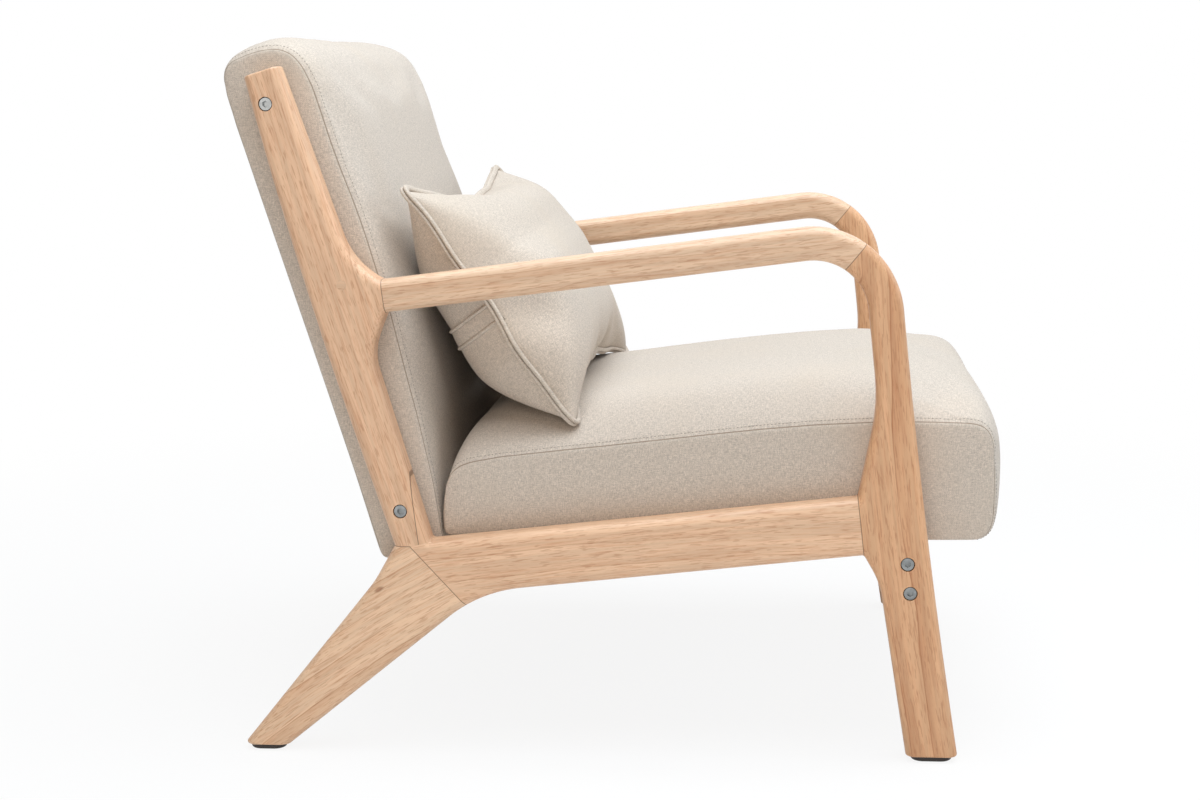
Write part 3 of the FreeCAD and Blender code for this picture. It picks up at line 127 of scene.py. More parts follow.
class FinishProperties(bpy.types.PropertyGroup):
    """Colours of the chair's finishes."""

    cloth: colour_property("Upholstery", "Cloth of the seat and the back", 0.60, 0.525, 0.45)
    pillow_cloth: colour_property("Pillow cloth", "Cloth of the loose pillow", 0.60, 0.52, 0.44)
    timber: colour_property(
        "Timber", "Pale wood between the growth rings", 0.745, 0.515, 0.343)
    latewood: colour_property(
        "Latewood", "Darker wood of the growth rings", 0.56, 0.305, 0.165)
    zinc: colour_property("Zinc", "Plated screws, bolts and plates", 0.27, 0.285, 0.29)
    glide: colour_property("Glides", "Plastic under the feet", 0.022, 0.016, 0.014)


class StageProperties(bpy.types.PropertyGroup):
    """Floor, lights and camera."""

    floor: colour_property("Floor", "Colour of the floor", 0.86, 0.86, 0.86)
    top_light: power_property("Top light", "Power of the light overhead", 102.0)
    side_light: power_property("Side light", "Power of the light beside the camera", 24.0)
    front_light: power_property("Front light", "Power of the light before the chair", 22.0)
    surround: number_property("Surround", "Strength of the studio's own light", 0.20)


# ---------------------------------------------------------------- materials

def arithmetic(operation, swapped=False):
    """A method of a number that adds a node for one operation, with itself last if swapped."""
    def method(self, *others):
        return self.finish.maths(operation, *((*others, self) if swapped else (self, *others)))
    return method


class Value:
    """A socket of a material, with the arithmetic of a number."""

    __add__ = __radd__ = arithmetic("ADD")
    __sub__ = arithmetic("SUBTRACT")
    __rsub__ = arithmetic("SUBTRACT", swapped=True)
    __mul__ = __rmul__ = arithmetic("MULTIPLY")
    __pow__ = arithmetic("POWER")
    __abs__ = arithmetic("ABSOLUTE")
    sine = arithmetic("SINE")
    fraction = arithmetic("FRACT")
    most = arithmetic("MAXIMUM")

    def __init__(self, finish, socket):
        self.finish = finish
        self.socket = socket

    def between(self, low, high):
        """0 below low, 1 above high and a smooth rise from one to the other."""
        return self.finish.node(
            "ShaderNodeMapRange", {"interpolation_type": "SMOOTHSTEP"},
            {"Value": self, "From Min": low, "From Max": high})


class Finish:
    """The nodes of a material, or of a world, under construction."""

    def __init__(self, name, kind="materials"):
        self.owner = getattr(bpy.data, kind).new(name)
        self.owner.use_nodes = True
        self.tree = self.owner.node_tree
        self.tree.nodes.clear()

    def node(self, kind, settings=None, values=None, output=0):
        """Adds a node, makes its settings, then fills its sockets, and gives one of its outputs."""
        made = self.tree.nodes.new(kind)
        for name, setting in (settings or {}).items():
            setattr(made, name, setting)
        for name, value in (values or {}).items():
            if isinstance(value, Value):
                self.tree.links.new(value.socket, made.inputs[name])
            else:
                made.inputs[name].default_value = value
        return Value(self, made.outputs[output]) if made.outputs else made

    def maths(self, operation, *values):
        return self.node("ShaderNodeMath", {"operation": operation}, dict(enumerate(values)))

    def mixed(self, first, second, amount):
        """One colour turned into another by an amount from 0 to 1."""
        return self.node("ShaderNodeMix", {"data_type": "RGBA"},
                         {0: amount, 6: first, 7: second}, output=2)

    def place(self, turn=(0, 0, 0), move=(0, 0, 0)):
        """Object coordinates, turned and moved."""
        raw = self.node("ShaderNodeTexCoord", output=3)
        return self.node("ShaderNodeMapping", None,
                         {"Vector": raw, "Rotation": turn, "Location": move})

    def cloth_place(self):
        """Places along the weft and the warp, in metres."""
        return self.node("ShaderNodeUVMap", {"uv_map": WEAVE})

    def stretched(self, vector, scale):
        return self.node("ShaderNodeVectorMath", {"operation": "MULTIPLY"},
                         {0: vector, 1: scale})

    def parts(self, vector):
        """The three numbers of a vector."""
        split = self.node("ShaderNodeSeparateXYZ", None, {"Vector": vector})
        return [Value(self, socket) for socket in split.socket.node.outputs]

    def noise(self, vector, fineness, detail=2.0, roughness=0.5):
        """Soft noise about 0.5, with a fineness each way or one for all three."""
        scale = fineness if isinstance(fineness, tuple) else (fineness, fineness, fineness)
        return self.node("ShaderNodeTexNoise", None,
                         {"Vector": self.stretched(vector, scale), "Scale": 1.0,
                          "Detail": detail, "Roughness": roughness})

    def bump(self, height, distance, strength=1.0):
        return self.node("ShaderNodeBump", None,
                         {"Height": height, "Distance": distance, "Strength": strength})

    def surface(self, **values):
        """Ends the nodes in a Principled BSDF with these socket values and gives the material."""
        named = {name.replace("_", " "): value for name, value in values.items()}
        shader = self.node("ShaderNodeBsdfPrincipled", None, named)
        self.node("ShaderNodeOutputMaterial", None, {"Surface": shader})
        return self.owner


def opaque(colour):
    return (*colour, 1.0)


def shade(colour, factor):
    return opaque([channel * factor for channel in colour])


SEED_STRIDE = 0.37  # along the grain, between the wood of one seed and the next
RINGS = 46  # growth rings a metre
JOINT_LINE = (0.00022, 0.00062)  # from a joint's plane, where its line starts and ends fading


def joint_lines(wood, joints):
    """1 on the planes of a timber's joints, each given by a place, its height and its tilt."""
    _, back, up = wood.parts(wood.place())
    line = None
    for forward, height, angle in joints:
        tilt = math.radians(angle)
        gap = abs(math.cos(tilt) * (-1 * back - forward) + math.sin(tilt) * (up - height))
        mark = 1 - gap.between(*JOINT_LINE)
        line = mark if line is None else line.most(mark)
    return line


def timber_finish(name, colours, middle, turn, heart, seed, joints=(), tint=(1, 1, 1),
                  figure=1.0, bow=0.0):
    """Satin lacquered pale hardwood.  The grain runs along the turned Y axis past the heart."""
    wood = Finish(name)
    early = [channel * share for channel, share in zip(colours.timber, tint)]
    late = [channel * share for channel, share in zip(colours.latewood, tint)]
    brown = [late[0] * 0.94, late[1] * 0.76, late[2] * 0.66]
    centre = Euler(turn).to_matrix() @ Vector(middle)
    start = SEED_STRIDE * seed
    grain = wood.place(turn, (heart[0] - centre.x, start - centre.y, heart[1] - centre.z))
    drift = wood.noise(grain, (7, 2.6, 9), detail=2) - 0.5
    ripple = wood.noise(grain, (60, 12, 75), detail=3) - 0.5
    x, along, across = wood.parts(grain)
    span = along - start
    bent = across + span * span * bow
    grain = wood.node("ShaderNodeCombineXYZ", None, {"X": x, "Y": along, "Z": bent})

    # growth rings about the heart, a soft band and a sharp boundary in each
    depth = x + span * 0.055 + drift * 0.030
    height = bent + drift * 0.045 + ripple * 0.004
    ring = (((depth * depth + height * height) ** 0.5) * RINGS).fraction()
    uneven = wood.noise(grain, (14, 4, 20), detail=3)
    strength = uneven.between(0.36, 0.66)
    band = ring.between(0.25, 0.95) * (1 - ring.between(0.968, 1.0))
    boundary = ring.between(0.925, 0.965) * (1 - ring.between(0.972, 0.995))

    # fibres, streaks, pores and pin knots
    fibre = wood.noise(grain, (500, 26, 500), detail=3, roughness=0.65)
    streak = wood.noise(grain, (120, 6, 150), detail=3, roughness=0.6)
    vessels = wood.noise(grain, (820, 62, 820), detail=1)
    pores = vessels.between(0.58, 0.66)
    knots = wood.node("ShaderNodeTexVoronoi", {"feature": "F1"},
                      {"Vector": wood.stretched(grain, (1, 0.45, 1)), "Scale": 11.0})
    knot = 1 - knots.between(0.014, 0.036)

    colour = wood.mixed(shade(early, 1.10), shade(early, 0.92), streak.between(0.32, 0.68))
    colour = wood.mixed(colour, opaque(late), band * (strength * 0.44 + 0.08) * figure)
    colour = wood.mixed(colour, shade(brown, 0.80), boundary * (strength * 0.50 + 0.25) * figure)
    colour = wood.mixed(colour, shade(brown, 1.02), fibre.between(0.46, 0.70) * 0.42)
    colour = wood.mixed(colour, shade(brown, 0.80), pores * 0.42)
    colour = wood.mixed(colour, shade(brown, 0.55), knot * 0.7)
    if joints:
        colour = wood.mixed(colour, shade(late, 0.33), joint_lines(wood, joints) * 0.85)
    normal = wood.bump(fibre * 0.45 - pores * 0.8, 0.00012, 0.6)
    rough = 0.36 + fibre * 0.10 + pores * 0.12
    return wood.surface(Base_Color=colour, Roughness=rough, Normal=normal, IOR=1.47)


THREAD_PITCH = 0.00105  # between the upholstery's threads
THREAD_SWAY = 0.0009


def cloth_finish(name, colour, seed):
    """Plain-woven heather cloth with slubs along both threads, with painted shade in its sewn
    grooves.
    """
    cloth = Finish(name)
    weave = cloth.cloth_place()
    sway = cloth.noise(weave, (140, 140, 1), detail=1) - 0.5
    u, v, _ = cloth.parts(weave)
    turn = math.pi / THREAD_PITCH
    weft = ((u + sway * THREAD_SWAY) * turn).sine()
    warp = ((v - sway * THREAD_SWAY) * turn).sine()
    threads = weft * warp * 0.5 + 0.5
    across = cloth.noise(weave, (170, 1000, 1), detail=2, roughness=0.7)
    along = cloth.noise(weave, (1000, 170, 1), detail=2, roughness=0.7)
    fleck = cloth.noise(cloth.place(move=(seed, 0, 0)), 820, detail=2, roughness=0.7)
    patch = cloth.noise(cloth.place(move=(seed, 0, 0)), 9, detail=2)
    heather = across * 0.5 + along * 0.5
    tone = heather.between(0.36, 0.66) * 0.55 + fleck.between(0.30, 0.72) * 0.45
    body = cloth.mixed(shade(colour, 0.66), shade(colour, 1.28), tone)
    warm = [colour[0] * 0.97, colour[1] * 0.935, colour[2] * 0.88]
    worn = cloth.mixed(body, opaque(warm), patch.between(0.45, 0.75) * 0.30)
    # painted shade: the cloth turns dark brown where the attribute marks a sewn groove
    groove_shade = cloth.node("ShaderNodeAttribute", {"attribute_name": SHADED_SEAM}, output=2)
    groove_shade_colour = [colour[0] * 0.40, colour[1] * 0.34, colour[2] * 0.28]
    groove_shaded = cloth.mixed(worn, opaque(groove_shade_colour), groove_shade.between(0.66, 0.98) * 0.85)
    height = threads * 0.55 + heather * 0.6 + fleck * 0.35
    normal = cloth.bump(height, 0.00028, 0.8)
    return cloth.surface(Base_Color=groove_shaded, Roughness=0.92, Normal=normal, Sheen_Weight=0.12,
                         Sheen_Roughness=0.45, Specular_IOR_Level=0.18)


def thread_finish(name, colour):
    """Twisted sewing thread in the cloth's colour, darkened as painted shade of its stitch holes."""
    thread = Finish(name)
    twist = thread.noise(thread.place(), 1400, detail=1)
    # partly the thread's own twist, partly painted shade: both tones are well below the cloth's
    # colour
    tone = thread.mixed(shade(colour, 0.38), shade(colour, 0.62), twist.between(0.35, 0.65))
    return thread.surface(Base_Color=tone, Roughness=0.8,
                          Normal=thread.bump(twist, 0.0002, 0.5))


def metal_finish(name, colour, roughness, brushed=0.35):
    """Plated steel with fine handling marks."""
    metal = Finish(name)
    cloud = metal.noise(metal.place(), 160, detail=4, roughness=0.65)
    scratch = metal.noise(metal.place(), (1800, 260, 1800), detail=2)
    tone = metal.mixed(shade(colour, 0.78), shade(colour, 1.12), cloud.between(0.3, 0.7))
    rough = roughness + cloud * 0.16 + scratch * 0.08 - 0.12
    return metal.surface(Base_Color=tone, Metallic=1.0, Roughness=rough,
                         Normal=metal.bump(scratch, 0.00004, brushed))


def moulded_finish(name, colour):
    """Matt moulded plastic with a fine spark texture."""
    plastic = Finish(name)
    grain = plastic.noise(plastic.place(), 1500, detail=2)
    scuff = plastic.noise(plastic.place(), 90, detail=3, roughness=0.6)
    tone = plastic.mixed(opaque(colour), shade(colour, 2.3), scuff.between(0.52, 0.80) * 0.5)
    return plastic.surface(Base_Color=tone, Roughness=0.48 + scuff * 0.18,
                           Normal=plastic.bump(grain, 0.00008, 0.6))


def board_finish(name, colour):
    """Sawn and planed softwood boards inside the upholstery."""
    board = Finish(name)
    spot = board.place()
    fibre = board.noise(spot, (24, 420, 420), detail=3)
    band = board.noise(spot, (4, 60, 60), detail=2)
    tone = board.mixed(shade(colour, 1.05), shade(colour, 0.72),
                       band.between(0.40, 0.62) * 0.6 + fibre.between(0.45, 0.75) * 0.4)
    return board.surface(Base_Color=tone, Roughness=0.70,
                         Normal=board.bump(fibre, 0.00025, 0.6))


def woven_finish(name, colour, pitch):
    """Coarse strapping and backing cloth, woven on the object's own axes."""
    strap = Finish(name)
    x, y, z = strap.parts(strap.place())
    turn = math.pi / pitch
    threads = (x * turn).sine() * ((y + z) * turn).sine() * 0.5 + 0.5
    fuzz = strap.noise(strap.place(), 700, detail=2)
    tone = strap.mixed(shade(colour, 0.65), shade(colour, 1.10), threads * 0.6 + fuzz * 0.4)
    return strap.surface(Base_Color=tone, Roughness=0.9,
                         Normal=strap.bump(threads + fuzz * 0.5, 0.0003, 0.7))


def middle_of(node):
    """The middle of a packed node's box."""
    low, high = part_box(node)
    return (Vector(low) + Vector(high)) / 2


def clad(finish, *nodes):
    """Gives packed nodes a finish."""
    for node in nodes:
        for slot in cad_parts[node].material_slots:
            slot.material = finish


# ---------------------------------------------------------------- meshes

def object_from(name, bm, finish, smooth=True):
    """Turns a bmesh into an object of the scene."""
    mesh = bpy.data.meshes.new(name)
    bm.to_mesh(mesh)
    bm.free()
    mesh.materials.append(finish)
    if smooth:
        mesh.shade_smooth()
    piece = bpy.data.objects.new(name, mesh)
    bpy.context.scene.collection.objects.link(piece)
    return piece


def soften(piece, levels):
    """Adds smooth subdivision."""
    smooth = piece.modifiers.new("Subdivision", "SUBSURF")
    smooth.levels = levels
    smooth.render_levels = levels
    smooth.boundary_smooth = "ALL"


def thicken(piece, thickness, offset):
    """Gives a sheet its thickness: behind its points at -1, and both sides of them at 0."""
    wall = piece.modifiers.new("Solidify", "SOLIDIFY")
    wall.thickness = thickness
    wall.offset = offset


def points_of(mesh):
    """A mesh's points, one a row."""
    flat = np.empty(len(mesh.vertices) * 3)
    mesh.vertices.foreach_get("co", flat)
    return flat.reshape(-1, 3)


def put_points(mesh, points):
    mesh.vertices.foreach_set("co", points.ravel())
    mesh.update()


def inflate(piece, held, pressure, frames, cap, stiffness):
    """Blows a closed cloth form out against its own stretch, with some points held still.

    No point moves further than the cap.
    """
    before = points_of(piece.data)
    group = piece.vertex_groups.new(name="held")
    group.add([int(index) for index in held], 1.0, "REPLACE")
    cloth = piece.modifiers.new("Cloth", "CLOTH")
    settings = cloth.settings
    settings.quality = 6
    settings.mass = 0.3
    settings.tension_stiffness = stiffness
    settings.compression_stiffness = stiffness
    settings.shear_stiffness = stiffness * 0.4
    settings.bending_stiffness = 0.6
    settings.use_pressure = True
    settings.uniform_pressure_force = pressure
    settings.vertex_group_mass = "held"
    settings.effector_weights.gravity = 0.0
    cloth.collision_settings.use_collision = False
    cloth.point_cache.frame_start = 1
    cloth.point_cache.frame_end = frames
    for step in range(1, frames + 1):
        bpy.context.scene.frame_set(step)
    evaluated = piece.evaluated_get(bpy.context.evaluated_depsgraph_get())
    after = points_of(evaluated.data)
    piece.modifiers.remove(cloth)
    piece.vertex_groups.remove(group)
    bpy.context.scene.frame_set(1)
    move = after - before
    length = np.linalg.norm(move, axis=1)
    move *= (cap * np.tanh(length / cap) / np.maximum(length, 1e-9))[:, None]
    put_points(piece.data, before + move)


def nearest_on_outline(points, outline):
    """For points in a side profile: the distance to its outline and the length along it."""
    start = outline
    end = np.roll(outline, -1, axis=0)
    run = end - start
    length = np.linalg.norm(run, axis=1)
    passed = np.concatenate([[0.0], np.cumsum(length)[:-1]])
    offset = points[:, None, :] - start[None]
    share = np.clip((offset * run[None]).sum(2) / (length ** 2)[None], 0, 1)
    gap = np.linalg.norm(offset - share[..., None] * run[None], axis=2)
    best = gap.argmin(axis=1)
    row = np.arange(len(points))
    return gap[row, best], passed[best] + share[row, best] * length[best], length.sum()


COLUMN_STEPS = (SEAM_RING, 0.0062, 0.0105, 0.0165, 0.025, 0.037, 0.053, 0.073)
MIDDLE_COLUMNS = 22


def columns_across(half_width):
    """Where a cushion's wrap is divided across the chair, closer together by the seams."""
    near = [half_width - step for step in COLUMN_STEPS]
    inner = np.linspace(-near[-1], near[-1], MIDDLE_COLUMNS)
    return sorted([-place for place in near[:-1]] + list(inner) + near[:-1])


def sewn_block(outline, half_width, cell):
    """A block across the chair with the outline as its side panels, divided for shaping."""
    bm = bmesh.new()
    corners = [bm.verts.new((-half_width, -forward, up)) for forward, up in outline]
    panel = bm.faces.new(corners)
    for edge in bm.edges[:]:
        cuts = int(edge.calc_length() / cell)
        if cuts:
            bmesh.ops.bisect_edges(bm, edges=[edge], cuts=cuts)
    for thickness in (SEAM_RING, 2 * SEAM_RING):
        bmesh.ops.inset_region(bm, faces=[panel], thickness=thickness, use_boundary=True,
                               use_even_offset=True)
    low = outline.min(axis=0)
    high = outline.max(axis=0)
    ring = set(bm.faces) - {panel}
    inner = [panel]
    for axis, normal in ((0, (0, 1, 0)), (1, (0, 0, 1))):
        count = round((high[axis] - low[axis]) / cell)
        for place in np.linspace(low[axis], high[axis], count + 1)[1:-1]:
            point = (0, -place, 0) if axis == 0 else (0, 0, place)
            parts = dict.fromkeys(item for face in inner for item in (*face.verts, *face.edges))
            cut = bmesh.ops.bisect_plane(bm, geom=inner + list(parts), dist=cell / 5,
                                         plane_co=point, plane_no=normal)
            inner = [item for item in cut["geom"]
                     if isinstance(item, bmesh.types.BMFace) and item not in ring]
    grown = bmesh.ops.extrude_face_region(bm, geom=bm.faces[:], use_keep_orig=True)
    moved = [item for item in grown["geom"] if isinstance(item, bmesh.types.BMVert)]
    bmesh.ops.translate(bm, verts=moved, vec=(2 * half_width, 0, 0))
    for place in columns_across(half_width):
        bmesh.ops.bisect_plane(bm, geom=bm.verts[:] + bm.edges[:] + bm.faces[:], dist=1e-6,
                               plane_co=(place, 0, 0), plane_no=(1, 0, 0))
    bmesh.ops.recalc_face_normals(bm, faces=bm.faces[:])
    return bm


def weave_block(bm, outline, half_width):
    """Lays the weave over a block: flat on its side panels and wrapped round the rest."""
    layer = bm.loops.layers.uv.new(WEAVE)
    bm.verts.index_update()
    places = np.array([(-vert.co.y, vert.co.z) for vert in bm.verts])
    _, around, total = nearest_on_outline(places, outline)
    for face in bm.faces:
        side = all(abs(abs(vert.co.x) - half_width) < TOUCH for vert in face.verts)
        first = around[face.verts[0].index]
        for loop in face.loops:
            vert = loop.vert
            if side:
                loop[layer].uv = (PANEL_CLOTH - vert.co.y, vert.co.z)
                continue
            length = around[vert.index]
            if length - first > total / 2:
                length -= total
            if first - length > total / 2:
                length += total
            loop[layer].uv = (vert.co.x, length)


def mark_shaded_seam(piece, amounts):
    """Stores how deep each point lies in a sewn groove, which sets the painted shade there."""
    layer = piece.data.attributes.new(SHADED_SEAM, "FLOAT", "POINT")
    layer.data.foreach_set("value", np.asarray(amounts, dtype=np.float32))


WAVES = 9


def wavering(points, scale, seed):
    """Slow, smooth and repeatable unevenness, about -1 to 1, over points in metres."""
    rng = np.random.default_rng(seed)
    total = np.zeros(len(points))
    for _ in range(WAVES):
        direction = rng.normal(size=3)
        direction /= np.linalg.norm(direction)
        wave = rng.uniform(0.6, 1.7) * scale
        total += np.sin(points @ direction * wave + rng.uniform(0, 2 * math.pi))
    return total / 4.0


def arc_crown(across, half_width, flatness, edge):
    """How much of its crown a cushion has at a place across the chair, 0 at the seams."""
    share = np.clip(np.abs(across) / half_width, 0, 1)
    return (1 - share ** flatness) ** (1 / edge)


# ---------------------------------------------------------------- seat

SEAT_OUTLINE = np.array((
    # forward, up, of the side panel's seam
    (-0.1790, 0.2325), (-0.1825, 0.2390), (-0.1830, 0.2550), (-0.1822, 0.2720),
    (-0.1800, 0.2870), (-0.1745, 0.3005), (-0.1655, 0.3080), (-0.1520, 0.3130),
    (-0.1195, 0.3192), (-0.0550, 0.3264), (-0.0120, 0.3309), (0.0300, 0.3358),
    (0.0730, 0.3407), (0.1150, 0.3455), (0.1570, 0.3500), (0.2150, 0.3550),
    (0.2720, 0.3578), (0.3030, 0.3587), (0.3440, 0.3585), (0.3740, 0.3576),
    (0.3865, 0.3557), (0.3940, 0.3508), (0.3988, 0.3430), (0.4015, 0.3320),
    (0.4025, 0.3060), (0.4025, 0.2820), (0.4018, 0.2590), (0.4000, 0.2470),
    (0.3950, 0.2372), (0.3860, 0.2325), (0.3400, 0.2320), (0.2000, 0.2320),
    (0.0100, 0.2320), (-0.1000, 0.2320)))


PUFF = 0.0045  # how far a side panel stands out in its middle
PUFF_REACH = 0.022  # how far in from its seam it takes to get there
SEAM_SINK = 0.0013
UNDER = 0.004  # a side panel has no sewn groove lower than this above its lowest seam


def shaped(bm, outline, sizes, lift):
    """Crowns a block's wrap and side panels, sinks its seams and gives the amounts of painted shade
    along them.
    """
    bm.normal_update()
    half_width = sizes.half_width
    points = np.array([vert.co for vert in bm.verts])
    normals = np.array([vert.normal for vert in bm.verts])
    inward, _, _ = nearest_on_outline(np.stack([-points[:, 1], points[:, 2]], 1), outline)
    panel = np.abs(np.abs(points[:, 0]) - half_width) < TOUCH
    edge = panel & (inward < 1e-4)
    shaded_seam = edge & (points[:, 2] > outline[:, 1].min() + UNDER)
    wrap = ~panel
    amount = arc_crown(points[:, 0], half_width, sizes.flatness, sizes.edge)
    level = normals.copy()
    level[:, 0] = 0
    level /= np.maximum(np.linalg.norm(level, axis=1), 1e-6)[:, None]
    moved = points.copy()
    moved[wrap] += (lift(points, level) * amount[:, None])[wrap]
    side = np.sign(points[:, 0])
    puff = PUFF * (1 - np.exp(-inward / PUFF_REACH))
    moved[panel, 0] += (side * puff)[panel]
    into = level.copy()
    into[:, 0] = side * 0.6
    moved[shaded_seam] -= into[shaded_seam] * SEAM_SINK
    for vert, place in zip(bm.verts, moved):
        vert.co = place
    # 1 on the sunk seams, where the cloth takes painted shade
    ring = np.zeros(len(points))
    ring[shaded_seam] = 1.0
    return ring, panel


def uneven(piece, free, depth, scale, seed):
    """Moves a cushion's free points along their normals by a slow unevenness."""
    points = points_of(piece.data)
    normals = np.empty(len(points) * 3)
    piece.data.vertices.foreach_get("normal", normals)
    wave = wavering(points, scale, seed) * depth * free
    points += normals.reshape(-1, 3) * wave[:, None]
    put_points(piece.data, points)


FRONT_END = (0.29, 0.35)  # forward, where the seat's crown starts and ends sinking
FRONT_SINK = 0.16  # the share of its crown that it loses there


def seat_lift(seat):
    """How far the seat's wrap stands out from its outline."""
    def lift(points, level):
        end = np.interp(-points[:, 1], FRONT_END, (0, 1))
        up = np.maximum(level[:, 2], 0) ** 1.3 * seat.crown * (1 - FRONT_SINK * end)
        front = np.maximum(-level[:, 1], 0) * seat.front_crown
        return np.stack([np.zeros(len(points)), -front, up], 1)
    return lift


CUSHION_FRAMES = 14
CUSHION_STIFFNESS = 30.0
HELD_REACH = 0.03  # from a side seam, where the wrap's unevenness fades out


def make_cushion(name, finish, outline, sizes, lift, pressure, cap, unevenness, seed):
    """A foam-filled cover of two side panels and one wrap, sewn together along two seams."""
    bm = sewn_block(outline, sizes.half_width, sizes.cell)
    weave_block(bm, outline, sizes.half_width)
    ring, panel = shaped(bm, outline, sizes, lift)
    low = np.array([vert.co.z for vert in bm.verts]) < outline[:, 1].min() + 0.001
    piece = object_from(name, bm, finish)
    # painted shade along the side seams
    mark_shaded_seam(piece, ring)
    reach = sizes.half_width - np.abs(points_of(piece.data)[:, 0])
    free = np.clip(reach / HELD_REACH, 0, 1) * (~panel) * (~low)
    held = np.flatnonzero(low | panel)
    inflate(piece, held, pressure, CUSHION_FRAMES, cap, CUSHION_STIFFNESS)
    uneven(piece, free, unevenness, 22.0, seed)
    soften(piece, 2)
    return piece


class ARMCHAIR_OT_seat(bpy.types.Operator):
    """Makes the seat cushion, whose bottom edge rests on the side rails"""

    bl_idname = "armchair.seat"
    bl_label = "Seat cushion"

    def execute(self, context):
        seat = context.scene.armchair_seat
        colours = context.scene.armchair_finish
        finish = cloth_finish("seat_cloth", colours.cloth, 0.0)
        piece = make_cushion("seat_cushion", finish, SEAT_OUTLINE, seat, seat_lift(seat),
                             1.2, 0.004, 0.0008, 11)
        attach(piece, BODY)
        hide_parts("seat_cover", "seat_foam", "seat_felt")
        return {"FINISHED"}


# ---------------------------------------------------------------- back

BACK_OUTLINE = np.array((
    # forward, up, of the side panel's seam
    (-0.2500, 0.2065), (-0.2790, 0.3030), (-0.3100, 0.4020), (-0.3410, 0.5010),
    (-0.3720, 0.6000), (-0.3950, 0.6750), (-0.4035, 0.7050), (-0.4055, 0.7190),
    (-0.4040, 0.7300), (-0.3970, 0.7385), (-0.3800, 0.7455), (-0.3640, 0.7500),
    (-0.3505, 0.7515), (-0.3390, 0.7500), (-0.3290, 0.7440), (-0.3195, 0.7325),
    (-0.3100, 0.7125), (-0.3010, 0.6840), (-0.2920, 0.6540), (-0.2828, 0.6270),
    (-0.2700, 0.5930), (-0.2590, 0.5600), (-0.2485, 0.5240), (-0.2325, 0.4700),
    (-0.2195, 0.4140), (-0.2065, 0.3610), (-0.1915, 0.2920), (-0.1825, 0.2310),
    (-0.1810, 0.2150), (-0.1850, 0.2075), (-0.1930, 0.2060)))

FACE_CROWN = (
    # up, how far the face stands before its seams
    (0.206, 0.0025), (0.292, 0.0045), (0.361, 0.0100), (0.414, 0.0145), (0.524, 0.0190),
    (0.600, 0.0205), (0.650, 0.0222), (0.690, 0.0220), (0.735, 0.0195))


def back_lift(back):
    """How far the back's wrap stands out from its outline."""
    heights, crowns = zip(*FACE_CROWN)

    def lift(points, level):
        face = np.maximum(-level[:, 1], 0) * np.interp(points[:, 2], heights, crowns)
        rear = np.maximum(level[:, 1], 0) * back.rear_crown
        up = np.maximum(level[:, 2], 0) * back.top_crown
        return np.stack([np.zeros(len(points)), rear - face, up], 1)
    return lift


class ARMCHAIR_OT_back(bpy.types.Operator):
    """Makes the back cushion, which leans between the posts"""

    bl_idname = "armchair.back"
    bl_label = "Back cushion"

    def execute(self, context):
        back = context.scene.armchair_back
        colours = context.scene.armchair_finish
        finish = cloth_finish("back_cloth", colours.cloth, 2.0)
        piece = make_cushion("back_cushion", finish, BACK_OUTLINE, back, back_lift(back),
                             1.0, 0.003, 0.0004, 23)
        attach(piece, BODY)
        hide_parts("back_cover", "back_foam", "back_rear_panel")
        return {"FINISHED"}


# ---------------------------------------------------------------- topstitching

STITCH_LENGTH = 0.0026
STITCH_PITCH = 0.0040
STITCH_RADIUS = 0.00042
STITCH_AHEAD = 0.002  # to the next place that a stitch points to
STITCH_OUT = 0.0050  # from a cushion's outline to the path that is laid on its surface
PATH_STEP = 0.004


def passed_along(path):
    """The length of a path up to each of its points."""
    steps = np.linalg.norm(np.diff(path, axis=0), axis=1)
    return np.concatenate([[0.0], np.cumsum(steps)])


def stitched(bm, surface, path):
    """Adds a run of stitches that lie on a surface along a path."""
    passed = passed_along(path)
    places = np.arange(STITCH_PITCH / 2, passed[-1], STITCH_PITCH)
    centres, aheads = (
        np.stack([np.interp(places + on, passed, path[:, axis]) for axis in range(3)], 1)
        for on in (0, STITCH_AHEAD))
    for centre, ahead in zip(centres, aheads):
        seat, normal, _, _ = surface.find_nearest(Vector(centre))
        following, _, _, _ = surface.find_nearest(Vector(ahead))
        forward = following - seat
        if forward.length < 1e-6:
            continue
        forward.normalize()
        aside = normal.cross(forward).normalized()
        turn = Matrix((forward, aside, normal)).transposed().to_4x4()
        size = Matrix.Diagonal((STITCH_LENGTH / 2, STITCH_RADIUS, STITCH_RADIUS * 0.9, 1))
        place = Matrix.Translation(seat + normal * STITCH_RADIUS * 0.15) @ turn @ size
        bmesh.ops.create_uvsphere(bm, u_segments=6, v_segments=4, radius=1.0, matrix=place)


def surface_of(piece):
    """The finished surface of a piece, for finding places on it."""
    evaluated = piece.evaluated_get(bpy.context.evaluated_depsgraph_get())
    bm = bmesh.new()
    bm.from_mesh(evaluated.data)
    tree = BVHTree.FromBMesh(bm)
    bm.free()
    return tree


def beside_seam(outline, first, last, across):
    """A path on the wrap beside a side seam, from one outline point to another."""
    run = outline[first:last + 1]
    stops = passed_along(run)
    fine = np.linspace(0, stops[-1], int(stops[-1] / PATH_STEP))
    forward = np.interp(fine, stops, run[:, 0])
    up = np.interp(fine, stops, run[:, 1])
    along = np.gradient(np.stack([forward, up], 1), axis=0)
    along /= np.linalg.norm(along, axis=1)[:, None]
    return np.stack([np.full(len(fine), across), -(forward - along[:, 1] * STITCH_OUT),
                     up + along[:, 0] * STITCH_OUT], 1)


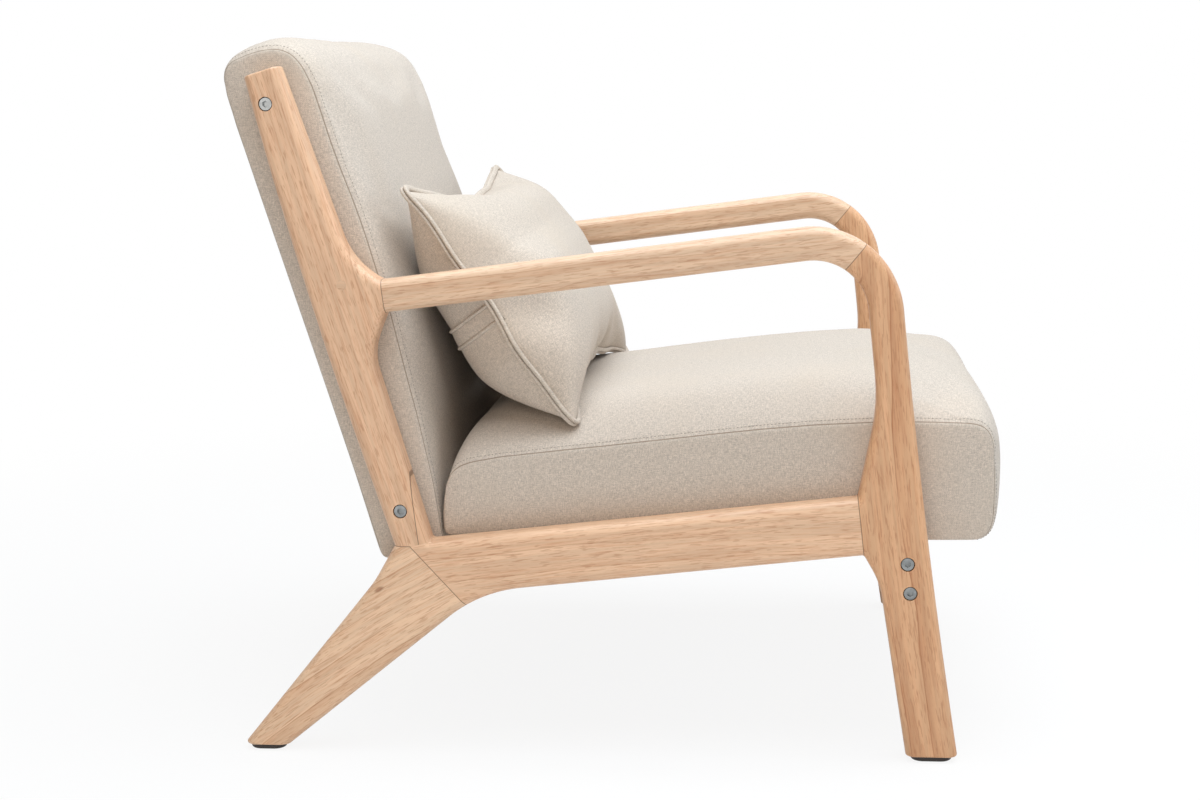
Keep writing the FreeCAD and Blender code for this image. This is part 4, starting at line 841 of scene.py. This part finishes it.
class ARMCHAIR_OT_topstitching(bpy.types.Operator):
    """Runs topstitching beside the cushions' seams"""

    bl_idname = "armchair.topstitching"
    bl_label = "Topstitching"

    def execute(self, context):
        scene = context.scene
        finish = thread_finish("topstitch_thread", scene.armchair_finish.cloth)
        for name, cushion, outline, first, last, half_width, inset in (
                ("seat_topstitching", "seat_cushion", SEAT_OUTLINE, 4, 29,
                 scene.armchair_seat.half_width, 0.0026),
                ("back_topstitching", "back_cushion", BACK_OUTLINE, 9, 27,
                 scene.armchair_back.half_width, 0.0048)):
            surface = surface_of(bpy.data.objects[cushion])
            bm = bmesh.new()
            for side in (-1, 1):
                stitched(bm, surface, beside_seam(outline, first, last,
                                                  side * (half_width - inset)))
            piece = object_from(name, bm, finish)
            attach(piece, BODY)
        return {"FINISHED"}


# ---------------------------------------------------------------- pillow

CASE_WIDTH, CASE_HEIGHT = 0.600, 0.345  # of the case as it is cut and sewn, flat
CASE_TAPER = 0.010  # how far the case's short edges draw in towards its ears
CASE_GAP = 0.004  # half of the gap between the flat case's two panels
CASE_END = 0.288  # from the middle, where the case's two short edges start
PILLOW_PRESSURE = 3.2
PILLOW_STIFFNESS = 12.0
PILLOW_FRAMES, QUICK_FRAMES = 24, 12
PILLOW_CAP = 0.2
PIPING_REACH = 0.0046  # from the seam to the outside of its piping
REST_GAP = 0.0006  # between the pillow and what it rests on
CAST = 0.25  # how far back a ray starts from the point that it tests
BELOW = (0, 0, -1)
BEHIND = (0, 1, 0)
RIDGE_OUT = 0.0016  # from the seam to the middle of the piping's ridges
RIDGE_SPREAD = 0.95  # half the gap of the ridges' middles, in their own half thicknesses
FLANGE = 0.75  # how much the ridges are drawn out, away from the pillow
FLANGE_CLEAR = 0.012  # the flange fades where the seam is nearer to the seat than this
FADE = 6  # points of the seam each way over which it fades
GROOVE_SHADE = 0.0014  # half the width of the painted shade in the groove between the ridges


def flat_case(width, height, cell):
    """Two flat panels of cloth sewn together round their edges, with their weave laid."""
    columns = round(width / cell)
    rows = 2 * round(height / cell / 2) + 1
    bm = bmesh.new()
    layer = bm.loops.layers.uv.new(WEAVE)
    bmesh.ops.create_grid(bm, x_segments=columns, y_segments=rows, size=0.5)
    bmesh.ops.scale(bm, verts=bm.verts[:], vec=(width, height, 1))
    for face in bm.faces:
        for loop in face.loops:
            loop[layer].uv = loop.vert.co.xy
    for vert in bm.verts:
        share_x = abs(vert.co.x) / (width / 2)
        share_y = abs(vert.co.y) / (height / 2)
        if vert.is_boundary and share_x > share_y:
            vert.co.x -= math.copysign(CASE_TAPER * share_y ** 3, vert.co.x)
    copied = bmesh.ops.duplicate(bm, geom=bm.verts[:] + bm.edges[:] + bm.faces[:])["geom"]
    rear = {item for item in copied if isinstance(item, bmesh.types.BMVert)}
    rear_faces = [item for item in copied if isinstance(item, bmesh.types.BMFace)]
    bmesh.ops.reverse_faces(bm, faces=rear_faces)
    for face in rear_faces:
        for loop in face.loops:
            loop[layer].uv = (loop.vert.co.x + REAR_CLOTH, loop.vert.co.y)
    for vert in bm.verts:
        if not vert.is_boundary:
            vert.co.z = -CASE_GAP if vert in rear else CASE_GAP
    bmesh.ops.remove_doubles(bm, verts=bm.verts[:], dist=TOUCH)
    return bm


def evened(points, edges, rim, rounds):
    """Smooths points over their neighbours, and the rim's points along the rim."""
    along_rim = rim[edges].all(axis=1)
    for _ in range(rounds):
        means = []
        for pairs in (edges, edges[along_rim]):
            total = np.zeros((len(points), 3))
            count = np.zeros(len(points))
            for here, there in ((0, 1), (1, 0)):
                np.add.at(total, pairs[:, here], points[pairs[:, there]])
                np.add.at(count, pairs[:, here], 1)
            means.append(total / np.maximum(count, 1)[:, None])
        points = (points + np.where(rim[:, None], means[1], means[0])) / 2
    return points


def slumped(points):
    """A filled pillow, -1 to 1 each way, as its filling and its own weight settle it."""
    across, up, out = points.T
    near = (1 - across) / 2
    far = 1 - near
    low = np.minimum(up, 0)

    # how full each face is up its height, and the near end's lobe low on the front
    top = np.maximum(up - 0.4, 0) ** 2
    foot = np.maximum(-up - 0.32, 0) ** 2
    rear = 1.17 - 0.15 * up - 2.0 * top - 2.4 * foot
    lobe = near ** 2 * np.maximum(1 - ((up + 0.30) / 0.55) ** 2, 0)
    front = 0.98 - 1.7 * top + 0.26 * low + 0.42 * lobe
    full = np.sign(out) * np.abs(out) ** 0.78 * np.where(out < 0, rear, front)

    # the seam's curve and waves at the near end, and the whole pillow's twist
    bow = 0.32 * low * np.sqrt(1 + low) * near ** 2
    wave = 0.035 * np.cos(9 * up - 0.45) * (1 - up ** 2) * near ** 5
    twist = far * (0.185 + 0.065 * up) - 0.04

    # a crease low on the front, and the droop of both ends
    valley = np.exp(-((across + 0.34 - 0.25 * (up + 0.8)) / 0.11) ** 2)
    crease = 0.16 * valley * np.maximum(-up - 0.3, 0) * (out > 0) * np.abs(out) ** 0.5
    droop = 0.115 * far ** 2 * np.maximum(-up - 0.6, 0)
    up = up - 0.055 * near - 0.15 * far * (up > 0) * np.abs(up) - droop
    return np.stack([across, up, full + bow + wave + twist - crease], 1)


def short_of(points, cushion, towards, gaps):
    """How far each point must move back, against a direction, to clear a cushion by its gap."""
    surface = surface_of(cushion)
    step = Vector(towards)
    short = np.zeros(len(points))
    for index, point in enumerate(points):
        spot, _, _, reach = surface.ray_cast(Vector(point) - step * CAST, step, 2 * CAST)
        if spot is not None:
            short[index] = max(CAST + gaps[index] - reach, 0)
    return short


def eased(need, edges, rounds):
    """Spreads a need over its neighbours, so that it is met everywhere and fades smoothly."""
    total = need
    count = np.bincount(edges.ravel(), minlength=len(need))
    for _ in range(rounds):
        around = np.bincount(edges[:, 0], total[edges[:, 1]], len(need))
        around += np.bincount(edges[:, 1], total[edges[:, 0]], len(need))
        total = np.maximum(around / np.maximum(count, 1), need)
    return total


def settled(points, edges, gaps, rounds):
    """Moves the points up off the seat and forward off the back, to rest against both."""
    for _ in range(2):
        for cushion, towards in (("seat_cushion", BELOW), ("back_cushion", BEHIND)):
            short = short_of(points, bpy.data.objects[cushion], towards, gaps)
            need = eased(short, edges, rounds)
            points = points - need[:, None] * np.array(towards)
    return points


FLAP_HEM = (
    # in from the flap's edge, out from the pillow
    (0.0000, -0.0006), (0.0003, 0.0016), (0.0012, 0.0031), (0.0025, 0.0034),
    (0.0037, 0.0028), (0.0045, 0.0008), (0.0055, 0.0013), (0.0085, 0.0015))
FLAP_CENTRE = -0.0135
FLAP_ENDS = 0.0010  # how far the flap stops short of the seam, as a share of the width
FLAP_THICKNESS = 0.0012
HEM_STITCHED = 0.0010  # lower than this on the hem, it is stitched down and takes painted shade
FLAP_CAST = 0.3  # how far behind the pillow the flap's places are cast from


class ARMCHAIR_OT_pillow(bpy.types.Operator):
    """Makes the loose pillow with its sewn edge and the flap over its fastener"""

    bl_idname = "armchair.pillow"
    bl_label = "Lumbar pillow"

    def execute(self, context):
        pillow = context.scene.armchair_pillow
        colours = context.scene.armchair_finish
        finish = cloth_finish("pillow_cloth", colours.pillow_cloth, 4.0)
        case = object_from("pillow_case", flat_case(CASE_WIDTH, CASE_HEIGHT, pillow.cell), finish)
        points = points_of(case.data)
        flat = points.copy()
        rim = np.abs(points[:, 2]) < 1e-6
        points[:, 2] += wavering(points, 40.0, 5) * 0.0006 * ~rim
        put_points(case.data, points)
        frames = PILLOW_FRAMES
        inflate(case, [], PILLOW_PRESSURE, frames, PILLOW_CAP, PILLOW_STIFFNESS)
        edges = np.array([edge.vertices[:] for edge in case.data.edges])
        points = evened(points_of(case.data), edges, rim, 12)
        low, high = points.min(axis=0), points.max(axis=0)
        points = 2 * (points - (low + high) / 2) / (high - low)
        points = slumped(points) * np.array((pillow.width, pillow.height, pillow.thickness)) / 2
        rise = np.array((0, math.sin(pillow.lean), math.cos(pillow.lean)))
        face = np.array((0, -math.cos(pillow.lean), math.sin(pillow.lean)))
        middle = np.array(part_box("pillow_cover")).mean(axis=0)
        placed = points @ np.array(((1, 0, 0), rise, face)) + middle
        placed = settled(placed, edges, np.where(rim, PIPING_REACH, REST_GAP), 40)
        put_points(case.data, placed)
        # painted shade along the sewn edge of the case
        mark_shaded_seam(case, rim.astype(float))
        soften(case, 1)
        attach(case, LOOSE)
        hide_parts("pillow_cover", "pillow_filling")
        self.make_piping(case, rim, face, middle, pillow, finish)
        ends = [rim & (side * flat[:, 0] > CASE_END) for side in (-1, 1)]
        self.make_flap(case, ends, (rise, face, middle), pillow, finish)
        return {"FINISHED"}

    def sewn_path(self, case, rim):
        """The points of the sewn edge, in order round the pillow, slightly smoothed."""
        bm = bmesh.new()
        bm.from_mesh(case.data)
        bm.verts.ensure_lookup_table()
        first = bm.verts[int(np.flatnonzero(rim)[0])]
        loop = [first]
        while True:
            following = [edge.other_vert(loop[-1]) for edge in loop[-1].link_edges]
            following = [vert for vert in following if rim[vert.index] and vert not in loop[-2:]]
            if len(loop) > 2 and first in following:
                break
            loop.append(following[0])
        path = np.array([vert.co for vert in loop])
        bm.free()
        for _ in range(2):
            path = (np.roll(path, 1, axis=0) + 2 * path + np.roll(path, -1, axis=0)) / 4
        return path

    def ridges(self, lines, radius):
        """A mesh of round cords along closed lines."""
        curve = bpy.data.curves.new("piping", "CURVE")
        curve.dimensions = "3D"
        curve.bevel_depth = radius
        curve.bevel_resolution = 4
        curve.resolution_u = 3
        for line in lines:
            spline = curve.splines.new("NURBS")
            spline.points.add(len(line) - 1)
            spline.points.foreach_set("co", np.c_[line, np.ones(len(line))].ravel())
            spline.order_u = 3
            spline.use_cyclic_u = True
        holder = bpy.data.objects.new("piping", curve)
        bpy.context.scene.collection.objects.link(holder)
        bpy.context.view_layer.update()
        mesh = bpy.data.meshes.new_from_object(
            holder.evaluated_get(bpy.context.evaluated_depsgraph_get()))
        bpy.data.objects.remove(holder)
        bpy.data.curves.remove(curve)
        return mesh

    def make_piping(self, case, rim, face, middle, pillow, finish):
        """Two ridges along the sewn edge, with the stitched groove between them and painted shade in
        it.
        """
        path = self.sewn_path(case, rim)
        outward = np.cross(np.roll(path, -1, axis=0) - np.roll(path, 1, axis=0), face)
        outward /= np.linalg.norm(outward, axis=1)[:, None]
        outward *= math.copysign(1, ((path - middle) * outward).sum())
        spread = face * pillow.piping * RIDGE_SPREAD
        mesh = self.ridges([(path + outward * RIDGE_OUT + side * spread)[::2] for side in (-1, 1)],
                           pillow.piping)

        # the ridges are drawn out to a flange, less where the seam lies on the seat
        places = points_of(mesh)
        nearest = np.linalg.norm(places[:, None] - path[None], axis=2).argmin(axis=1)
        beyond = ((places - path[nearest]) * outward[nearest]).sum(axis=1)
        aside = np.abs((places - path[nearest]) @ face)
        seat = bpy.data.objects["seat_cushion"]
        low = short_of(path, seat, BELOW, np.full(len(path), FLANGE_CLEAR)) > 0
        window = 2 * FADE + 1
        fade = np.convolve(np.r_[low[-FADE:], low, low[:FADE]], np.ones(window) / window, "valid")
        places += outward[nearest] * (beyond * FLANGE * (1 - fade)[nearest])[:, None]
        links = np.array([edge.vertices[:] for edge in mesh.edges])
        places = settled(places, links, np.full(len(places), REST_GAP * 0.7), 12)

        put_points(mesh, places)
        bm = bmesh.new()
        bm.from_mesh(mesh)
        bpy.data.meshes.remove(mesh)
        bmesh.ops.recalc_face_normals(bm, faces=bm.faces[:])
        layer = bm.loops.layers.uv.verify()
        for item in bm.faces:
            for corner in item.loops:
                corner[layer].uv = (corner.vert.co.x + corner.vert.co.y, corner.vert.co.z)
        piping = object_from("pillow_piping", bm, finish)
        piping.data.uv_layers[0].name = WEAVE
        # painted shade in the groove between the two ridges
        mark_shaded_seam(piping, 1 - np.clip(aside / GROOVE_SHADE, 0, 1))
        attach(piping, LOOSE)

    def make_flap(self, case, ends, axes, pillow, finish):
        """A strip of cloth with two folded hems across the rear, over the fastener."""
        rise, face, middle = axes
        surface = surface_of(case)
        points = points_of(case.data) - middle
        edges = []
        for end in ends:
            heights = points[end] @ rise
            order = np.argsort(heights)
            edges.append((heights[order], points[end][order, 0]))
        rows = list(FLAP_HEM) + [(pillow.flap - inset, out) for inset, out in FLAP_HEM[::-1]]
        bm = bmesh.new()
        layer = bm.loops.layers.uv.new(WEAVE)
        bmesh.ops.create_grid(bm, x_segments=90, y_segments=len(rows) - 1, size=0.5)
        hem_shade = []
        for vert in bm.verts:
            across = (1 - math.cos(math.pi * (vert.co.x + 0.5))) / 2
            share = FLAP_ENDS + (1 - 2 * FLAP_ENDS) * across
            inset, out = rows[round((vert.co.y + 0.5) * (len(rows) - 1))]
            height = FLAP_CENTRE + pillow.flap / 2 - inset
            near, far = (np.interp(height, *edge) for edge in edges)
            behind = middle + rise * height - face * FLAP_CAST
            behind[0] += near + (far - near) * share
            spot, normal, _, _ = surface.ray_cast(Vector(behind), Vector(face))
            if spot is None:
                spot, normal, _, _ = surface.find_nearest(Vector(behind + face * FLAP_CAST))
            vert.co = spot + normal * out
            # painted shade where the hem is stitched down
            hem_shade.append(float(out < HEM_STITCHED))
        for item in bm.faces:
            for corner in item.loops:
                corner[layer].uv = (corner.vert.co.x, corner.vert.co.z + FLAP_CLOTH)
        bm.normal_update()
        if sum(item.normal.dot(Vector(face)) for item in bm.faces) > 0:
            bmesh.ops.reverse_faces(bm, faces=bm.faces[:])
        flap = object_from("pillow_flap", bm, finish)
        mark_shaded_seam(flap, hem_shade)
        thicken(flap, FLAP_THICKNESS, -1)
        soften(flap, 1)
        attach(flap, LOOSE)


# ---------------------------------------------------------------- underside

SHEET_THICKNESS = 0.0006
SHEET_SAG = 0.0012  # how far the sheet hangs down in its middle
SHEET_RIPPLE = 0.0005
SHEET_CLEAR = 0.0002  # between the sheet and the top of the CAD solid that it stands for


class ARMCHAIR_OT_dust_cloth(bpy.types.Operator):
    """Stretches the dust cloth under the seat frame"""

    bl_idname = "armchair.dust_cloth"
    bl_label = "Dust cloth"

    def execute(self, context):
        low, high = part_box("seat_dust_cover")
        size = (high[0] - low[0], high[1] - low[1])
        bm = bmesh.new()
        bmesh.ops.create_grid(bm, x_segments=36, y_segments=36, size=0.5)
        bmesh.ops.scale(bm, verts=bm.verts[:], vec=(size[0], size[1], 1))
        bmesh.ops.translate(bm, verts=bm.verts[:],
                            vec=((low[0] + high[0]) / 2, (low[1] + high[1]) / 2, high[2]))
        points = np.array([vert.co for vert in bm.verts])
        share = np.stack([(points[:, 0] - low[0]) / size[0], (points[:, 1] - low[1]) / size[1]])
        slack = (np.sin(share[0] * math.pi) * np.sin(share[1] * math.pi)) ** 0.6
        drop = SHEET_SAG * slack + SHEET_RIPPLE * slack * wavering(points, 30.0, 3)
        for vert, fall in zip(bm.verts, drop):
            vert.co.z -= SHEET_CLEAR + fall
        finish = woven_finish("dust_cloth", (0.045, 0.043, 0.042), 0.0009)
        sheet = object_from("seat_dust_cloth", bm, finish)
        thicken(sheet, SHEET_THICKNESS, 0)
        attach(sheet, BODY)
        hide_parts("seat_dust_cover")
        return {"FINISHED"}


# ---------------------------------------------------------------- timber and fittings

ARM_JOINT = (-0.2365, 0.5108, 6.8)
BEND_MITRE = (0.2550, 0.5330, 140.085)
RAIL_JOINT = (0.2590, 0.2820, 6.2)
REAR_MITRE = (-0.2125, 0.2280, 42.5)
POST_FOOT = (-0.2213, 0.2280, 90.0)

TIMBERS = (
    # node, grain above forward in degrees, heart in and across, seed, joint planes, tint,
    # strength of the figure, bow of the grain
    ("back_post", 107.0, (0.020, -0.075), 1.3, (ARM_JOINT, POST_FOOT), (0.96, 0.90, 0.86), 0.5, 0.0),
    ("armrest", 6.8, (0.030, 0.055), 2.1, (ARM_JOINT, BEND_MITRE), (0.96, 0.97, 0.98), 0.6, 0.0),
    ("front_leg", 97.0, (0.012, 0.019), 3.7, (BEND_MITRE, RAIL_JOINT), (0.89, 0.75, 0.62), 1.0, 0.1),
    ("side_rail", 6.2, (0.034, -0.050), 4.4, (RAIL_JOINT, REAR_MITRE), (1.0, 0.96, 0.93), 0.5, 0.1),
    ("rear_leg", 32.0, (0.030, 0.090), 5.9, (REAR_MITRE, POST_FOOT), (1.03, 1.03, 1.02), 0.9, 0.3))


class ARMCHAIR_OT_timber(bpy.types.Operator):
    """Finishes the side frames and the cross rail"""

    bl_idname = "armchair.timber"
    bl_label = "Timber"

    def execute(self, context):
        colours = context.scene.armchair_finish
        for name, angle, heart, seed, joints, tint, figure, bow in TIMBERS:
            for shift, side in enumerate(("right", "left")):
                node = f"{name}_{side}"
                turn = (math.radians(angle), 0, 0)
                clad(timber_finish(f"{node}_timber", colours, middle_of(node), turn, heart,
                                   seed + shift * 0.57, joints, tint, figure, bow), node)
        rail = "front_cross_rail"
        clad(timber_finish("cross_rail_timber", colours, middle_of(rail),
                           (0, 0, math.radians(90)), (0.02, 0.04), 7.7), rail)
        plugs = "joint_plugs"
        clad(timber_finish("plug_timber", colours, middle_of(plugs),
                           (0, math.radians(90), 0), (0.03, 0.03), 8.3), plugs, "frame_dowels")
        return {"FINISHED"}


class ARMCHAIR_OT_fittings(bpy.types.Operator):
    """Finishes the fasteners, glides and the pieces inside the upholstery"""

    bl_idname = "armchair.fittings"
    bl_label = "Fittings"

    def execute(self, context):
        colours = context.scene.armchair_finish
        zinc = metal_finish("zinc_plate", colours.zinc, 0.34)
        clad(zinc, "back_bolts", "rail_bolts", "spring_washers", "barrel_nuts", "seat_screws",
             "plate_screws", "tie_plates", "glide_nails", "spring_clips", "back_inserts")
        clad(metal_finish("spring_steel", (0.20, 0.20, 0.21), 0.42), "seat_springs")
        clad(moulded_finish("glide_plastic", colours.glide), "front_glides", "rear_glides")
        clad(board_finish("frame_boards", (0.58, 0.42, 0.26)), "seat_frame_front",
             "seat_frame_rear", "seat_frame_right", "seat_frame_left", "seat_bearer",
             "seat_corner_blocks", "back_stile_right", "back_stile_left", "back_board_bottom",
             "back_board_middle", "back_board_top")
        clad(woven_finish("strap_webbing", (0.50, 0.38, 0.24), 0.0016), "back_straps")
        return {"FINISHED"}


# ---------------------------------------------------------------- stage

FLOOR_GLOW = 0.89  # how much of the floor under the chair is plain white where it is seen
FLOOR_FADE = (0.55, 2.1)  # from the middle, where the floor starts and ends turning white
FLOOR_RADIUS = 14.0
LENS = 61.5
SENSOR = 36.0
CAMERA_PLACE = Matrix((
    (0.09421903, 0.15491336, -0.98342495, -2.42870525),
    (-0.99548201, 0.00298924, -0.09490331, -0.19401294),
    (-0.01176210, 0.98792354, 0.15449511, 0.71505419),
    (0, 0, 0, 1)))


def soft_light(name, place, target, size, power, colour):
    lamp = bpy.data.lights.new(name, "AREA")
    lamp.shape = "RECTANGLE"
    lamp.size, lamp.size_y = size
    lamp.energy = power
    lamp.color = colour
    holder = bpy.data.objects.new(name, lamp)
    holder.location = place
    look = Vector(target) - Vector(place)
    holder.rotation_euler = look.to_track_quat("-Z", "Y").to_euler()
    holder.visible_camera = False
    bpy.context.scene.collection.objects.link(holder)


def seen_ray(finish):
    """1 for a ray that reaches the eye directly, off a gloss or through glass."""
    sockets = finish.node("ShaderNodeLightPath").socket.node.outputs
    direct, gloss, through = (
        Value(finish, sockets[name])
        for name in ("Is Camera Ray", "Is Glossy Ray", "Is Transmission Ray"))
    return direct.most(gloss).most(through)


def floor_finish(colour):
    """Pale matt floor that fades to white away from the chair."""
    floor = Finish("studio_floor")
    x, y, _ = floor.parts(floor.place())
    away = ((x * x + y * y) ** 0.5).between(*FLOOR_FADE)
    grain = floor.noise(floor.place(), 40, detail=3)
    tone = floor.mixed(shade(colour, 0.99), shade(colour, 1.01), grain)
    matt = floor.node("ShaderNodeBsdfPrincipled", None,
                      {"Base Color": tone, "Roughness": 0.85, "Specular IOR Level": 0.1})
    white = floor.node("ShaderNodeEmission", None, {"Color": (1, 1, 1, 1), "Strength": 1.0})
    amount = seen_ray(floor) * (FLOOR_GLOW + away * (1 - FLOOR_GLOW))
    both = floor.node("ShaderNodeMixShader", None, {0: amount, 1: matt, 2: white})
    floor.node("ShaderNodeOutputMaterial", None, {"Surface": both})
    return floor.owner


def studio_world(strength):
    """Soft surround that is white wherever it is seen."""
    sky = Finish("studio", "worlds")
    glow = sky.node("ShaderNodeBackground", None,
                    {"Color": (1.0, 0.91, 0.81, 1), "Strength": strength})
    white = sky.node("ShaderNodeBackground", None, {"Color": (1, 1, 1, 1), "Strength": 1.0})
    both = sky.node("ShaderNodeMixShader", None, {0: seen_ray(sky), 1: glow, 2: white})
    sky.node("ShaderNodeOutputWorld", None, {"Surface": both})
    return sky.owner


class ARMCHAIR_OT_stage(bpy.types.Operator):
    """Sets the floor, the lights and the camera"""

    bl_idname = "armchair.stage"
    bl_label = "Stage"

    def execute(self, context):
        scene = context.scene
        stage = scene.armchair_stage
        bm = bmesh.new()
        bmesh.ops.create_circle(bm, cap_ends=True, segments=96, radius=FLOOR_RADIUS)
        floor = object_from("floor", bm, floor_finish(stage.floor), smooth=False)
        soft_light("top_light", (-0.3, -0.35, 2.7), (0, -0.05, 0.3), (2.6, 2.6),
                   stage.top_light, (0.835, 0.92, 1.0))
        soft_light("side_light", (-3.0, 0.35, 1.15), (0, 0.05, 0.4), (2.4, 1.8),
                   stage.side_light, (1.0, 0.92, 0.84))
        soft_light("front_light", (0.3, -3.0, 1.5), (0, 0, 0.5), (1.8, 1.6),
                   stage.front_light, (0.86, 0.93, 1.0))
        scene.world = studio_world(stage.surround)
        scene.view_settings.view_transform = "Standard"
        lens = bpy.data.cameras.new("camera")
        lens.lens = LENS
        lens.sensor_width = SENSOR
        lens.clip_end = 100.0
        camera = bpy.data.objects.new("camera", lens)
        camera.matrix_world = CAMERA_PLACE
        scene.collection.objects.link(camera)
        scene.camera = camera
        return {"FINISHED"}


# ---------------------------------------------------------------- panel and registration

class ARMCHAIR_PT_sidebar(bpy.types.Panel):
    """Lists the armchair's pieces, sizes and colours"""

    bl_idname = "ARMCHAIR_PT_sidebar"
    bl_label = "Lounge armchair"
    bl_space_type = "VIEW_3D"
    bl_region_type = "UI"
    bl_category = "Armchair"

    def draw(self, context):
        column = self.layout.column(align=True)
        for operator in OPERATORS:
            column.operator(operator.bl_idname)
        for name, group in PROPERTIES:
            box = self.layout.box()
            box.label(text=group.__doc__)
            for field in group.__annotations__:
                box.prop(getattr(context.scene, name), field)


PROPERTIES = (
    ("armchair_seat", SeatProperties), ("armchair_back", BackProperties),
    ("armchair_pillow", PillowProperties), ("armchair_finish", FinishProperties),
    ("armchair_stage", StageProperties))
OPERATORS = (
    ARMCHAIR_OT_stage, ARMCHAIR_OT_timber, ARMCHAIR_OT_fittings, ARMCHAIR_OT_seat,
    ARMCHAIR_OT_back, ARMCHAIR_OT_topstitching, ARMCHAIR_OT_pillow, ARMCHAIR_OT_dust_cloth)


def register():
    for name, group in PROPERTIES:
        bpy.utils.register_class(group)
        setattr(bpy.types.Scene, name, PointerProperty(type=group))
    for operator in OPERATORS:
        bpy.utils.register_class(operator)
    bpy.utils.register_class(ARMCHAIR_PT_sidebar)


def unregister():
    bpy.utils.unregister_class(ARMCHAIR_PT_sidebar)
    for operator in reversed(OPERATORS):
        bpy.utils.unregister_class(operator)
    for name, group in reversed(PROPERTIES):
        delattr(bpy.types.Scene, name)
        bpy.utils.unregister_class(group)


def main():
    register()
    bpy.ops.armchair.stage()
    bpy.ops.armchair.timber()
    bpy.ops.armchair.fittings()
    bpy.ops.armchair.seat()
    bpy.ops.armchair.back()
    bpy.ops.armchair.topstitching()
    bpy.ops.armchair.pillow()
    bpy.ops.armchair.dust_cloth()


if __name__ == "__main__":
    main()
